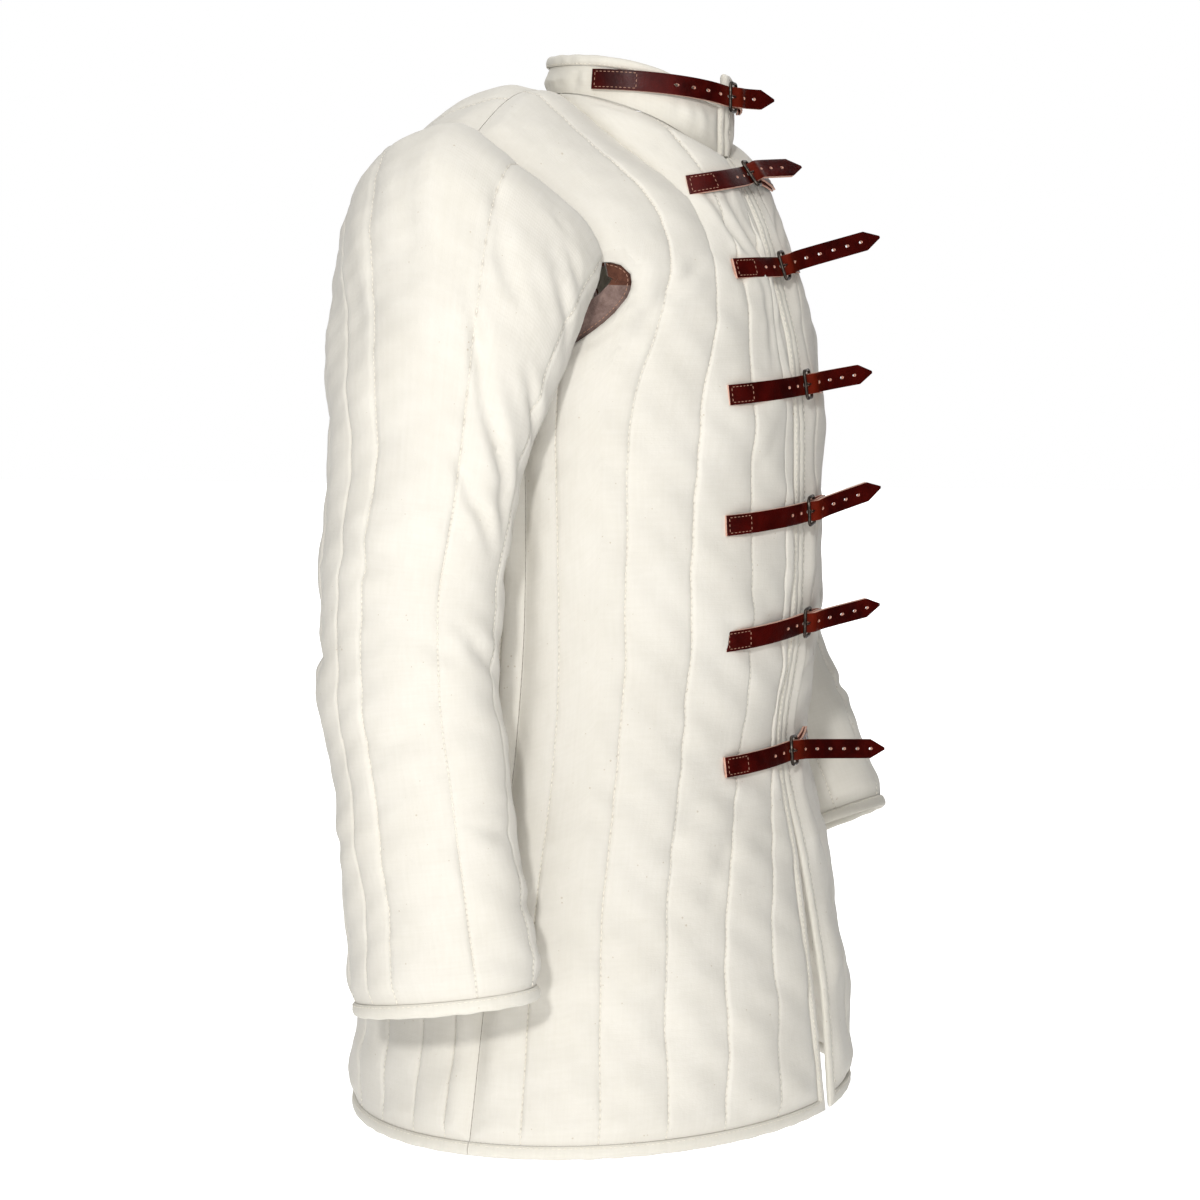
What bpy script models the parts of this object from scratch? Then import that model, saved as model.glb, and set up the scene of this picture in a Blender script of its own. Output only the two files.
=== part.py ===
"""A gambeson: a quilted, padded coat of unbleached cotton, worn by nobody and filled out as on a wearer.

The frame is in metres with +Z up. The wearer faces -Y, so the wearer's right is -X. The origin is between
the two neck points, where the wearer's shoulders carry the coat. Each cloth panel is a wall: a plain inside
3 mm under the stitched lines, and an outside that swells between them. Straps close the front edge to edge.
"""

import math

import bmesh
import bpy
import numpy as np

# Cloth
WALL = 0.003  # cloth and padding under a stitched line
PUFF = 0.006  # what the padding adds half way between two lines
SLEEVE_PUFF = 0.005
SEAM_GAP = 0.00032  # between two pieces sewn together
ROLL_WIDTH = 0.010  # rolled edge of the fronts, the hem and the cuffs
ROLL_SECTION = (
    # share of the roll's width, then height from the middle of the wall, in walls
    (0.0, -0.5),
    (0.0, 0.5),
    (0.45, 1.0),
    (0.95, 0.5),
    (0.95, -0.5),
    (0.45, -1.0),
)
LOW_RUNS = (0.0, 0.03, 0.14, 0.26, 0.36, 0.43, 0.50, 0.60, 0.72, 0.84, 0.94, 1.0)
HIGH_SHARES = (0.0, 0.16, 0.33, 0.50, 0.67, 0.82, 0.93, 1.0)  # of the way from the split to the shoulder
SEAM_SHARE = 0.008  # of a channel, left free at the side seam
CHANNEL_COLUMNS = (0.0, 0.22, 0.78)  # where a channel's columns stand, the first on its stitched line
BACK_COLUMNS = (0.0, 0.5)

# Leather and metal
STRAP_WIDTH = 0.0155
STRAP_THICK = 0.0026
STRAP_LIFT = 0.0069  # underside of the leather over a stitched line's level
CHAPE_THICK = 0.0016
BAR = 0.0013  # radius of the buckle's wire
BUCKLE_HALF_LENGTH = 0.0070
BUCKLE_HALF_WIDTH = STRAP_WIDTH / 2 + 0.0031
TONGUE = 0.0009
TIP_LENGTH = 0.016
TIP_WIDTHS = (0.80, 0.14)  # of the strap's width, where its point begins and at its end
CHAPE_LENGTH = 0.042  # from the strap's line over the front's edge to the chape's sewn end
UNDER = 0.0005  # between two things that touch
FOLD_INNER = BAR + UNDER
SLOT_SHARE = 0.19  # of a strap's half width, to the side of the slot that the tongue goes through
EDGE_REACH = 0.013  # nearer to centre front than this, the straps run straight over the two rolled edges
STRAP_OVER_BUCKLE = (
    # length along the line from the buckle's middle, then share of the climb over the buckle
    (-0.0100, 0.0),
    (-0.0074, 0.0),
    (-0.0052, 0.10),
    (0.0035, 0.99),
    (0.0062, 1.01),
    (0.0100, 1.03),
)
BUCKLE_CORNER = 0.0017

# Body: one row for each level, with the half width and the depths of the stitched level
HEM = -0.786
SPLIT = -0.155  # the panels are cut by the armholes above this level
ARMPIT = -0.222
ARMPIT_POWER = 1.6  # 2 is an ellipse under the arm, 1 a straight line
BODY_COLUMNS = ("z", "half_width", "front", "back")
BODY_LEVELS = (
    (HEM, 0.244, 0.195, 0.188),
    (-0.700, 0.232, 0.187, 0.181),
    (-0.600, 0.218, 0.172, 0.172),
    (-0.505, 0.200, 0.155, 0.161),
    (-0.420, 0.196, 0.166, 0.155),
    (-0.320, 0.198, 0.169, 0.157),
    (-0.226, 0.201, 0.167, 0.162),
    (-0.190, 0.200, 0.162, 0.161),
    (SPLIT, 0.197, 0.153, 0.157),
)
# Half the gap that opens between the two front edges below the lowest strap
FRONT_GAP = ((HEM, 0.007), (-0.700, 0.011), (-0.600, 0.005), (-0.530, 0.0), (0.0, 0.0))

# Stitched lines: the angle of each round the body, from centre front at 0 to centre back at 180
SIDE_SEAM = ((HEM, 90.0), (-0.620, 87.0), (-0.505, 84.0), (-0.360, 82.0), (SPLIT, 82.0))
FRONT_LINES = (
    # level, then the lines between the front edge and the side seam
    (HEM, 19.5, 34.0, 47.5, 61.8, 78.3),
    (-0.620, 16.5, 30.5, 46.0, 61.0, 76.5),
    (-0.505, 7.5, 21.0, 39.5, 56.5, 73.0),
    (-0.360, 9.5, 22.5, 40.5, 57.0, 73.5),
    (ARMPIT, 9.5, 21.5, 35.5, 53.0, 72.5),
    (SPLIT, 9.0, 19.0, 28.5, 43.0, 68.0),
)
BACK_LINES = (
    # level, then the lines between the side seam and centre back
    (HEM, 96.5, 106.0, 118.0, 131.0, 144.0, 156.0, 168.0),
    (-0.620, 93.0, 102.0, 114.0, 128.0, 141.5, 154.0, 167.0),
    (-0.360, 87.5, 95.0, 106.0, 119.5, 134.5, 149.5, 165.0),
    (SPLIT, 87.5, 95.0, 106.0, 119.5, 134.5, 149.5, 165.0),
)
FRONT_CHANNELS = 6.0
BACK_CHANNELS = 8.0  # from the side seam to centre back
# The columns, in lines, where the sleeves are sewn in, and how far the open armpit is cut into the front
FRONT_ARMHOLE = 4.71
FRONT_VENT = 4.38
VENT_TOP = (1.03, 1.13)  # runs at which the front's cut ends, at its tip and at the sleeve's seam
BACK_ARMHOLE = 4.6

# Neck and shoulder
NECK_CENTRE = -0.033
NECK_HALF_WIDTH = 0.079
NECK_HALF_DEPTH = 0.072
NECK_RISE = ((0.0, -0.047), (22.0, -0.039), (60.0, -0.017), (100.0, -0.001), (140.0, 0.004), (180.0, 0.002))
NECK_POINT_ANGLE = 127.0
FRONT_TILTS = (50.0, 38.0)  # slope of the cloth where it meets the neckline at the front, and at the shoulder
BACK_TILTS = (50.0, 7.0)
REACHES = (0.38, 0.52)  # how far the front and the back run straight before they bend to the shoulder
NECK_LEAN = 0.56  # how much the cloth runs inwards where it reaches the neck point
SHOULDER_TIP = (0.197, 0.017, -0.041)
SHOULDER_ARCH = 0.016
# Where each line ends: on the neckline, as an angle, or on the shoulder, as a share of the seam from the neck
FRONT_NECK_ENDS = ((0.0, 7.6), (1.0, 14.0), (2.0, 55.0), (3.0, NECK_POINT_ANGLE))
FRONT_SHOULDER_ENDS = ((3.0, 0.0), (4.0, 0.42), (FRONT_ARMHOLE, 1.0))
BACK_SHOULDER_ENDS = ((BACK_ARMHOLE, 1.0), (5.0, 0.60), (6.0, 0.17), (6.4, 0.0))
BACK_NECK_ENDS = ((6.4, NECK_POINT_ANGLE), (7.0, 147.0), (BACK_CHANNELS, 180.0))

# Collar
COLLAR_HEIGHTS = ((0.0, 0.038), (60.0, 0.029), (110.0, 0.021), (180.0, 0.024))
COLLAR_LIFT = ((0.0, 0.022), (25.0, 0.012), (50.0, 0.002), (180.0, 0.0))  # the left end stands higher than the right
COLLAR_WALL = 0.0045
COLLAR_SEAM = 0.0006
COLLAR_PUFF = 0.003
COLLAR_ROLL = 0.0085
COLLAR_END = 7.6  # degrees from centre front at which the collar's rolled edge begins
COLLAR_ANGLES = (COLLAR_END, 14.0, 23.02, 45.98, 55.0, 70.84, 91.0, 111.16, 127.0, 147.0, 163.5)  # over the panels' columns
COLLAR_SHARES = ((0.0, 0.0), (0.38, 1.0), (0.80, 1.0), (1.0, 0.0))  # of its height, and how full it is there

# Sleeves: one row for each section down the arm, for a sleeve on the wearer's left
SLEEVE_COLUMNS = ("x", "y", "z", "half_depth", "half_width")
RIGHT_SLEEVE = (  # the wearer's right, written for the left and mirrored
    (0.272, 0.0233, -0.311, 0.0685, 0.0500),
    (0.282, 0.0282, -0.3825, 0.0645, 0.0490),
    (0.288, 0.0245, -0.4536, 0.0650, 0.0490),
    (0.293, 0.0115, -0.5248, 0.0630, 0.0480),
    (0.296, 0.0008, -0.5960, 0.0650, 0.0490),
    (0.298, -0.0083, -0.6640, 0.0695, 0.0520),
)
LEFT_SLEEVE = (
    (0.285, 0.0220, -0.302, 0.0685, 0.0500),
    (0.301, 0.0220, -0.366, 0.0645, 0.0490),
    (0.310, 0.0040, -0.428, 0.0640, 0.0490),
    (0.313, -0.0210, -0.489, 0.0630, 0.0480),
    (0.312, -0.0460, -0.550, 0.0640, 0.0490),
    (0.308, -0.0720, -0.612, 0.0670, 0.0510),
)
SLEEVE_CHANNELS = 7
SLEEVE_RUNS = (0.0, 0.05, 0.2, 0.36, 0.52, 0.68, 0.84, 1.0, 1.5, 2.0, 2.5, 3.0, 3.5, 4.0, 4.5, 5.0, 5.5, 5.9, 6.0)
SLEEVE_SEAM_SHIFT = 0.0007  # of the sleeve's top edge, away from the body
SLEEVE_FIRST_LINE = -10.0  # degrees round the sleeve from its outer side, towards the front
SLEEVE_TURN = 16.0  # the shoulder tip meets this angle of the sleeve
SEWN_BACK = 0.110  # from the shoulder tip; below it the armpit is open
UNDERARM = (0.2235, 0.010, -0.262)  # lowest point of the sleeve's free edge
FREE_WAYS = ((0.35, 0.10, -0.93), (0.65, 0.20, -0.75))  # the free edge's way where the front's and back's seams end
LEAVE = (0.55, 0.25)  # how far the cap spreads as it leaves the armhole, and how much more at the back

# Leather facings round the open armpits
FACING_THICK = 0.0015
FACING_END_GAP = 0.0048  # either side of the side seam, so that the facing bends there without a fold
ARMHOLE_MIDDLE = (0.19, 0.0, -0.14)
FACING_REACH = 0.012  # into the opening
FACING_LAP = 0.007  # under the cloth
FACING_LAP_RUN = 0.06  # the same under the sleeve's top edge, in sections
FACING_SINK = 0.0020  # between a facing and the cloth over it
SLEEVE_FACING_SINK = 0.0006
FACING_DIP = 0.0026  # how far the lapped edge falls away inside the coat

# Straps: a row for each, from the collar down. Level of the buckle, how much lower the sewn end is,
# length from the sewn end to the buckle, free length past it, its rise, how far it leaves the chest, and how
# much deeper it is pulled into the padding than the others
STRAP_COLUMNS = ("z", "drop", "sewn", "free", "rise", "leave", "pulled")
STRAPS = (
    (-0.0640, 0.012, 0.084, 0.066, 0.006, 16.0, 0.0),
    (-0.1340, 0.004, 0.072, 0.105, 0.026, 29.0, 0.0016),
    (-0.2250, 0.009, 0.104, 0.076, 0.010, 22.0, 0.0013),
    (-0.3230, 0.009, 0.108, 0.082, 0.018, 23.0, 0.0),
    (-0.4100, 0.010, 0.104, 0.085, 0.011, 23.0, 0.0008),
    (-0.5125, 0.005, 0.094, 0.100, -0.007, 27.0, 0.0),
)
COLLAR_STRAP = (0.0010, -0.010, 0.124, 0.048, 0.002, 20.0, 0.0)

COLOURS = {
    "cotton": (0.86, 0.83, 0.75),
    "cotton_edge": (0.88, 0.84, 0.74),
    "strap_leather": (0.13, 0.018, 0.012),
    "suede": (0.16, 0.075, 0.045),
    "iron": (0.09, 0.075, 0.06),
}


def clear_scene():
    for found in list(bpy.data.objects):
        bpy.data.objects.remove(found)


def material(name):
    """The Principled material of that name."""
    made = bpy.data.materials.get(name)
    if made:
        return made
    made = bpy.data.materials.new(name)
    made.use_nodes = True
    shader = made.node_tree.nodes["Principled BSDF"]
    shader.inputs["Base Color"].default_value = (*COLOURS[name], 1)
    shader.inputs["Roughness"].default_value = {"iron": 0.4, "strap_leather": 0.35}.get(name, 0.9)
    shader.inputs["Metallic"].default_value = 1.0 if name == "iron" else 0.0
    return made


def curve(knots, values, at):
    """A smooth curve through values at rising knots, read at the places asked for."""
    knots, values, at = (np.asarray(v, float) for v in (knots, values, at))
    slopes = np.gradient(values, knots)
    at = np.clip(at, knots[0], knots[-1])
    i = np.clip(np.searchsorted(knots, at, side="right") - 1, 0, len(knots) - 2)
    span = knots[i + 1] - knots[i]
    f = (at - knots[i]) / span
    return (
        (1 + 2 * f) * (1 - f) ** 2 * values[i]
        + f * (1 - f) ** 2 * span * slopes[i]
        + f**2 * (3 - 2 * f) * values[i + 1]
        - f**2 * (1 - f) * span * slopes[i + 1]
    )


def read(pairs, at):
    """A smooth curve through (place, value) pairs."""
    places, values = zip(*pairs)
    return curve(places, values, at)


def straight(pairs, at):
    """Straight lines through (place, value) pairs."""
    places, values = zip(*pairs)
    return np.interp(at, places, values)


def column(names, rows, wanted):
    return [row[names.index(wanted)] for row in rows]


def unit(v):
    v = np.asarray(v, float)
    return v / np.maximum(np.linalg.norm(v, axis=-1, keepdims=True), 1e-12)


def body_level(z, wanted):
    heights = column(BODY_COLUMNS, BODY_LEVELS, "z")
    return curve(heights, column(BODY_COLUMNS, BODY_LEVELS, wanted), z)


def body_ring(z, degrees):
    """The stitched level of the body at a height and an angle, on the wearer's left."""
    z, angle = np.broadcast_arrays(np.asarray(z, float), np.radians(degrees))
    depth = np.where(np.cos(angle) > 0, body_level(z, "front"), body_level(z, "back"))
    return np.stack([body_level(z, "half_width") * np.sin(angle), -depth * np.cos(angle), z], axis=-1)


def front_edge_angle(z):
    """The angle at which the front panel ends and its rolled edge begins."""
    away = ROLL_WIDTH + SEAM_GAP + 0.0004 + straight(FRONT_GAP, z)
    return np.degrees(np.arcsin(away / body_level(z, "half_width")))


def line_angle(lines, place, z):
    """The angle round the body of a place given in lines, such as 2.5 half way from line 2 to line 3."""
    levels = [row[0] for row in lines]
    angles = [curve(levels, [row[k] for row in lines], z) for k in range(1, len(lines[0]))]
    seam = read(SIDE_SEAM, z)
    if lines is FRONT_LINES:
        angles = [front_edge_angle(z), *angles, seam]
    else:
        angles = [seam, *angles, np.full_like(seam, 180.0)]
    place = np.asarray(place, float)
    low = np.clip(np.floor(place).astype(int), 0, len(angles) - 2)
    stacked = np.stack(np.broadcast_arrays(*angles))
    low_angle, high_angle = (
        np.take_along_axis(stacked, np.broadcast_to(k, stacked.shape[1:])[None], 0)[0] for k in (low, low + 1)
    )
    return low_angle + (place - low) * (high_angle - low_angle)


def neck_ring(degrees, grow=0.0, rise=0.0):
    """The collar's seam at an angle from centre front, on the wearer's left."""
    angle = np.radians(degrees)
    return np.stack(
        [
            (NECK_HALF_WIDTH + grow) * np.sin(angle),
            NECK_CENTRE - (NECK_HALF_DEPTH + grow) * np.cos(angle),
            read(NECK_RISE, degrees) + rise,
        ],
        axis=-1,
    )


def shoulder_seam(share):
    """The shoulder seam, from the neck at 0 to the tip at 1."""
    share = np.asarray(share, float)
    neck = neck_ring(np.full_like(share, NECK_POINT_ANGLE))
    seam = neck + (np.array(SHOULDER_TIP) - neck) * share[..., None]
    seam[..., 2] += SHOULDER_ARCH * np.sin(math.pi * share)
    return seam


def seam_normal(share):
    """The way out of the cloth along the shoulder seam, the same for the front and the back."""
    tilt = np.radians((FRONT_TILTS[1] - BACK_TILTS[1]) / 2)
    along = shoulder_seam(np.minimum(share + 0.01, 1.0)) - shoulder_seam(np.maximum(share - 0.01, 0.0))
    return unit(np.cross(along, np.array([0.0, math.cos(tilt), math.sin(tilt)])))


def armhole_floor(lines, place, armhole, side_line):
    """The height at which a column under the arm ends: a rounded corner from the armhole's edge to the side."""
    share = np.clip(np.abs(side_line - place) / abs(side_line - armhole), 0, 1)
    return ARMPIT + (SPLIT - ARMPIT) * (1 - (1 - share**ARMPIT_POWER) ** (1 / ARMPIT_POWER))


def vent_run(place):
    """The run at which the front's cloth begins again over the open armpit."""
    share = np.clip((np.asarray(place, float) - FRONT_VENT) / (FRONT_ARMHOLE - FRONT_VENT), 0, 1)
    tip, seam = VENT_TOP
    return tip + (seam - tip) * np.sqrt(1 - (1 - share) ** 2)


def bezier(a, b, c, d, f):
    f = np.asarray(f, float)[..., None]
    return a * (1 - f) ** 3 + 3 * b * f * (1 - f) ** 2 + 3 * c * f**2 * (1 - f) + d * f**3


def panel_top(place, ends_on_neck, ends_on_shoulder, back):
    """Where a long column ends, and the way it runs there."""
    neck = neck_ring(straight(ends_on_neck, place))
    seam = shoulder_seam(straight(ends_on_shoulder, place))
    neck_point = ends_on_neck[0][0] if back else ends_on_neck[-1][0]
    on_neck = (place >= neck_point) if back else (place <= neck_point)
    share = (BACK_CHANNELS - place) / (BACK_CHANNELS - neck_point) if back else place / neck_point
    share = np.clip(share, 0, 1) ** 2
    at_neck, at_shoulder = BACK_TILTS if back else FRONT_TILTS
    tilt = np.radians(at_neck * (1 - share) + at_shoulder * share)
    lean = -NECK_LEAN * np.where(on_neck, share**2, 1 - straight(ends_on_shoulder, place))
    along = unit(np.stack([lean, (-1 if back else 1) * np.cos(tilt), np.sin(tilt)], axis=-1))
    return np.where(on_neck[..., None], neck, seam), along


def panel_point(place, run, back):
    """A point of the stitched level of a front or of half the back, on the wearer's left.
    run goes from 0 at the hem to 1 at the split or the armhole's floor, and on to 2 at the neck or shoulder."""
    place, run = np.broadcast_arrays(np.asarray(place, float), np.asarray(run, float))
    lines, armhole = (BACK_LINES, BACK_ARMHOLE) if back else (FRONT_LINES, FRONT_VENT)
    side_line = 0.0 if back else FRONT_CHANNELS
    short = (place < armhole) if back else (place > armhole)
    ceiling = np.where(short, armhole_floor(lines, place, armhole, side_line), SPLIT)
    z = HEM + (ceiling - HEM) * np.clip(run, 0, 1)
    low = body_ring(z, line_angle(lines, place, z))
    start_z = np.full_like(z, SPLIT)
    start = body_ring(start_z, line_angle(lines, place, start_z))
    before = body_ring(start_z - 0.004, line_angle(lines, place, start_z - 0.004))
    ends = (BACK_NECK_ENDS, BACK_SHOULDER_ENDS) if back else (FRONT_NECK_ENDS, FRONT_SHOULDER_ENDS)
    top, along = panel_top(place, *ends, back)
    reach = REACHES[1 if back else 0] * np.linalg.norm(top - start, axis=-1, keepdims=True)
    high = bezier(start, start + unit(start - before) * reach, top - along * reach, top, np.clip(run - 1, 0, 1))
    return np.where((run > 1)[..., None], high, low)


def normals(point, u, v, step=1e-3, low_u=-9, high_u=99, low_v=0.0, high_v=2.0):
    """Unit normals of a surface point(u, v), from its own slopes."""
    u0, u1 = np.maximum(u - step, low_u), np.minimum(u + step, high_u)
    v0, v1 = np.maximum(v - step, low_v), np.minimum(v + step, high_v)
    return unit(np.cross(point(u1, v) - point(u0, v), point(u, v1) - point(u, v0)))


def wall_mesh(name, outer, inner, look, wrap=False, cut=frozenset()):
    """A closed wall from two grids of points, [column][row], without the cells in cut or with a corner missing."""
    shape = outer.shape[:2]
    there = ~np.isnan(outer[..., 0])
    index = np.full(shape, -1)
    index[there] = np.arange(there.sum())
    count = int(there.sum())
    faces = []
    columns = range(shape[0] if wrap else shape[0] - 1)
    for i in columns:
        k = (i + 1) % shape[0]
        for j in range(shape[1] - 1):
            corners = (index[i, j], index[k, j], index[k, j + 1], index[i, j + 1])
            if min(corners) >= 0 and (i, j) not in cut:
                faces.append(tuple(int(c) for c in corners))
    sides = {(a, b) for f in faces for a, b in zip(f, f[1:] + f[:1])}
    rims = [(b, a, a + count, b + count) for a, b in sides if (b, a) not in sides]
    inside = [tuple(c + count for c in reversed(f)) for f in faces]
    points = np.concatenate([outer[there], inner[there]])
    return solid(name, points, faces + inside + sorted(rims), look)


def solid(name, points, faces, look):
    """An object from points and faces, with its faces turned outwards."""
    mesh = bpy.data.meshes.new(name)
    mesh.from_pydata([tuple(map(float, p)) for p in points], [], faces)
    shaped = bmesh.new()
    shaped.from_mesh(mesh)
    bmesh.ops.recalc_face_normals(shaped, faces=shaped.faces)
    shaped.to_mesh(mesh)
    shaped.free()
    mesh.shade_smooth()
    mesh.set_sharp_from_angle(angle=math.radians(50))
    made = bpy.data.objects.new(name, mesh)
    bpy.context.scene.collection.objects.link(made)
    mesh.materials.append(material(look))
    return made


def mirrored(points, side):
    """Points made for the wearer's left, put on the side asked for: 1 for left, -1 for right."""
    return points * np.array([side, 1, 1])


def channel_places(first, last, edges, columns=CHANNEL_COLUMNS):
    """Columns for the channels from one line to the next, with the edges of the cut added."""
    places = {first, last, *edges}
    places |= {k + f for k in range(int(first), int(math.ceil(last))) for f in columns}
    return np.array(sorted(p for p in places if first <= p <= last))


def wave(f):
    """How full a channel is, from 0 on a stitched line to 1 in the middle."""
    return np.sin(math.pi * np.mod(f, 1.0)) ** 0.55


def faded(values, at, width):
    """1 inside a range of values and 0 at its two ends, over a width."""
    return np.clip((values - at[0]) / width, 0, 1) * np.clip((at[1] - values) / width, 0, 1)


def panel_rows(back, places, low_runs=LOW_RUNS, high_shares=HIGH_SHARES):
    """Places and runs of a panel's grid. A corner that the armhole cuts away has no number for its run."""
    places, low_runs, high_shares = (np.asarray(v, float) for v in (places, low_runs, high_shares))
    first = vent_run(places)[:, None]
    high = first + (2.0 - first) * high_shares
    past = (places < BACK_ARMHOLE - 1e-9) if back else (places > FRONT_ARMHOLE + 1e-9)
    high[past] = np.nan
    run = np.concatenate([np.broadcast_to(low_runs, (len(places), len(low_runs))), high], axis=1)
    return np.repeat(places[:, None], run.shape[1], axis=1), run


def panel_normals(back, place, run):
    """Normals of a panel, taken from the cloth on the same side of the cut."""
    over = run > 1
    edge = BACK_ARMHOLE if back else FRONT_ARMHOLE
    low_u = np.where(over & back, edge, 0.0)
    high_u = np.where(over, BACK_CHANNELS if back else edge, BACK_CHANNELS if back else FRONT_CHANNELS)

    def surface(u, v):
        return panel_point(u, v, back)

    return normals(surface, place, run, low_u=low_u, high_u=high_u, high_v=np.where(over, 2.0, 1.0))


def cut_columns(back, place):
    """The columns that the armhole cuts in two or ends."""
    return (place < BACK_ARMHOLE - 1e-9) if back else (place > FRONT_VENT + 1e-9)


def panel_walls(back, places, low_runs=LOW_RUNS, high_shares=HIGH_SHARES):
    """Outer and inner grids of a front or of half the back, on the wearer's left."""
    place, run = panel_rows(back, places, low_runs, high_shares)
    known = ~np.isnan(run)
    used = np.where(known, run, 1.0)
    point = panel_point(place, used, back)
    normal = panel_normals(back, place, used)
    point[~known] = np.nan
    last = unit(point[:, -1] - point[:, -2])
    point[:, -1] -= last * SEAM_GAP
    ends = BACK_SHOULDER_ENDS if back else FRONT_SHOULDER_ENDS
    on_seam = (places >= ends[0][0] - 1e-9) & (places <= ends[-1][0] + 1e-9)
    normal[on_seam, -1] = seam_normal(straight(ends, places[on_seam]))
    edge = BACK_ARMHOLE if back else FRONT_ARMHOLE
    full = wave(place) * faded(used, (-1.0, 2.0), 0.2) * faded(used, (0.0, 3.0), 0.03)
    on_armhole = np.isclose(place, edge) & (used > 1)
    rows = np.arange(run.shape[1])
    at_split = (rows == len(low_runs) - 1) | (rows == len(low_runs))
    on_cut = cut_columns(back, place) & at_split
    full = np.where(on_armhole | on_cut | (np.isclose(place, FRONT_VENT) & at_split & (not back)), 0.0, full)
    return point + normal * (PUFF * full)[..., None], point - normal * WALL


def open_cells(back, places, low_runs=LOW_RUNS):
    """The cells that the open armpit takes out of a panel's grid: (column, row)."""
    row = len(low_runs) - 1
    found = []
    for column_number, (a, b) in enumerate(zip(places[:-1], places[1:])):
        middle = (a + b) / 2
        if cut_columns(back, np.array(middle)):
            found.append((column_number, row))
    return frozenset(found)


def make_front(name, side):
    places = channel_places(0.0, FRONT_CHANNELS, (2.5, FRONT_ARMHOLE, FRONT_VENT))
    places[-1] -= SEAM_SHARE
    outer, inner = panel_walls(False, places)
    cut = open_cells(False, places)
    wall_mesh(name, mirrored(outer, side), mirrored(inner, side), "cotton", cut=cut)


def make_back():
    places = channel_places(0.0, BACK_CHANNELS, (BACK_ARMHOLE,), BACK_COLUMNS)
    places[0] += SEAM_SHARE
    outer, inner = panel_walls(True, places)
    cut = open_cells(True, places)
    last = 2 * (len(places) - 1) - 1
    cut |= {(last - column_number, row) for column_number, row in cut}
    outer, inner = (np.concatenate([g, mirrored(g, -1)[::-1][1:]]) for g in (outer, inner))
    wall_mesh("back", outer, inner, "cotton", cut=cut)


def tube(name, rings, look, closed=False):
    """A closed body through rings of points, joined end to end or capped."""
    rings = np.asarray(rings)
    count, sides = rings.shape[:2]
    faces = []
    for i in range(count if closed else count - 1):
        here, there = i * sides, (i + 1) % count * sides
        faces += [(here + k, here + (k + 1) % sides, there + (k + 1) % sides, there + k) for k in range(sides)]
    if not closed:
        faces += [tuple(range(sides))[::-1], tuple(range((count - 1) * sides, count * sides))]
    return solid(name, rings.reshape(-1, 3), faces, look)


def roll_rings(point, outward, normal, width=ROLL_WIDTH, wall=WALL):
    """The sections of a rolled edge that starts a seam's gap beyond the points of a panel's edge."""
    rings = []
    for share, height in ROLL_SECTION:
        rings.append(point + outward * (SEAM_GAP + share * width) + normal * (height - 0.5) * wall)
    return np.stack(rings, axis=1)


def panel_edge(back, place, run, step):
    """Points of a panel's edge, the way out of the panel there, and the normals. step is (place, run)."""
    place, run = np.broadcast_arrays(np.asarray(place, float), np.asarray(run, float))
    point = panel_point(place, run, back)
    inside = panel_point(place - step[0] * 0.01, run - step[1] * 0.01, back)
    return point, unit(point - inside), panel_normals(back, place, run)


def make_front_roll(name, side):
    up = np.array([2.0, 1.8, 1.6, 1.4, 1.2, 1.0, 0.9, 0.8, 0.7, 0.6, 0.5, 0.4, 0.3, 0.2, 0.1])
    round_hem = np.append(np.arange(0.5, FRONT_CHANNELS, 0.5), FRONT_CHANNELS - SEAM_SHARE)
    edge = panel_edge(False, 0.0, up, (-1, 0))
    corner_in = panel_edge(False, [0.0], [0.0], (-1, 0))
    corner_down = panel_edge(False, [0.0], [0.0], (0, -1))
    hem = panel_edge(False, round_hem, 0.0, (0, -1))
    point, outward, normal = (
        np.concatenate([edge[k], corner_in[k] + (corner_down[k] if k == 1 else 0), hem[k]]) for k in range(3)
    )
    outward[0] -= unit(point[0] - point[1]) * 0.02
    tube(name, mirrored(roll_rings(point, outward, normal), side), "cotton_edge")


def make_back_roll():
    places = np.append(np.arange(0.5, BACK_CHANNELS, 0.5), BACK_CHANNELS)
    places = np.insert(places, 0, SEAM_SHARE)
    point, outward, normal = panel_edge(True, places, 0.0, (0, -1))
    rings = roll_rings(point, outward, normal)
    tube("back_hem_edge", np.concatenate([rings, mirrored(rings, -1)[::-1][1:]]), "cotton_edge")


def collar_point(degrees, share):
    """The collar's stitched level at an angle either side of centre front, from its seam at 0 to its top at 1."""
    side = np.sign(degrees)
    side = np.where(side == 0, 1.0, side)
    turned = np.abs(degrees)
    full = read(COLLAR_HEIGHTS, turned) + np.where(side > 0, read(COLLAR_LIFT, turned), 0.0)
    height = COLLAR_SEAM + share * full
    return neck_ring(turned, 0.0, height) * np.stack([side, side * 0 + 1, side * 0 + 1], axis=-1)


def collar_normal(degrees):
    angle = np.radians(degrees)
    return unit(
        np.stack([NECK_HALF_DEPTH * np.sin(angle), -NECK_HALF_WIDTH * np.cos(angle), 0 * angle], axis=-1)
    )


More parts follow.
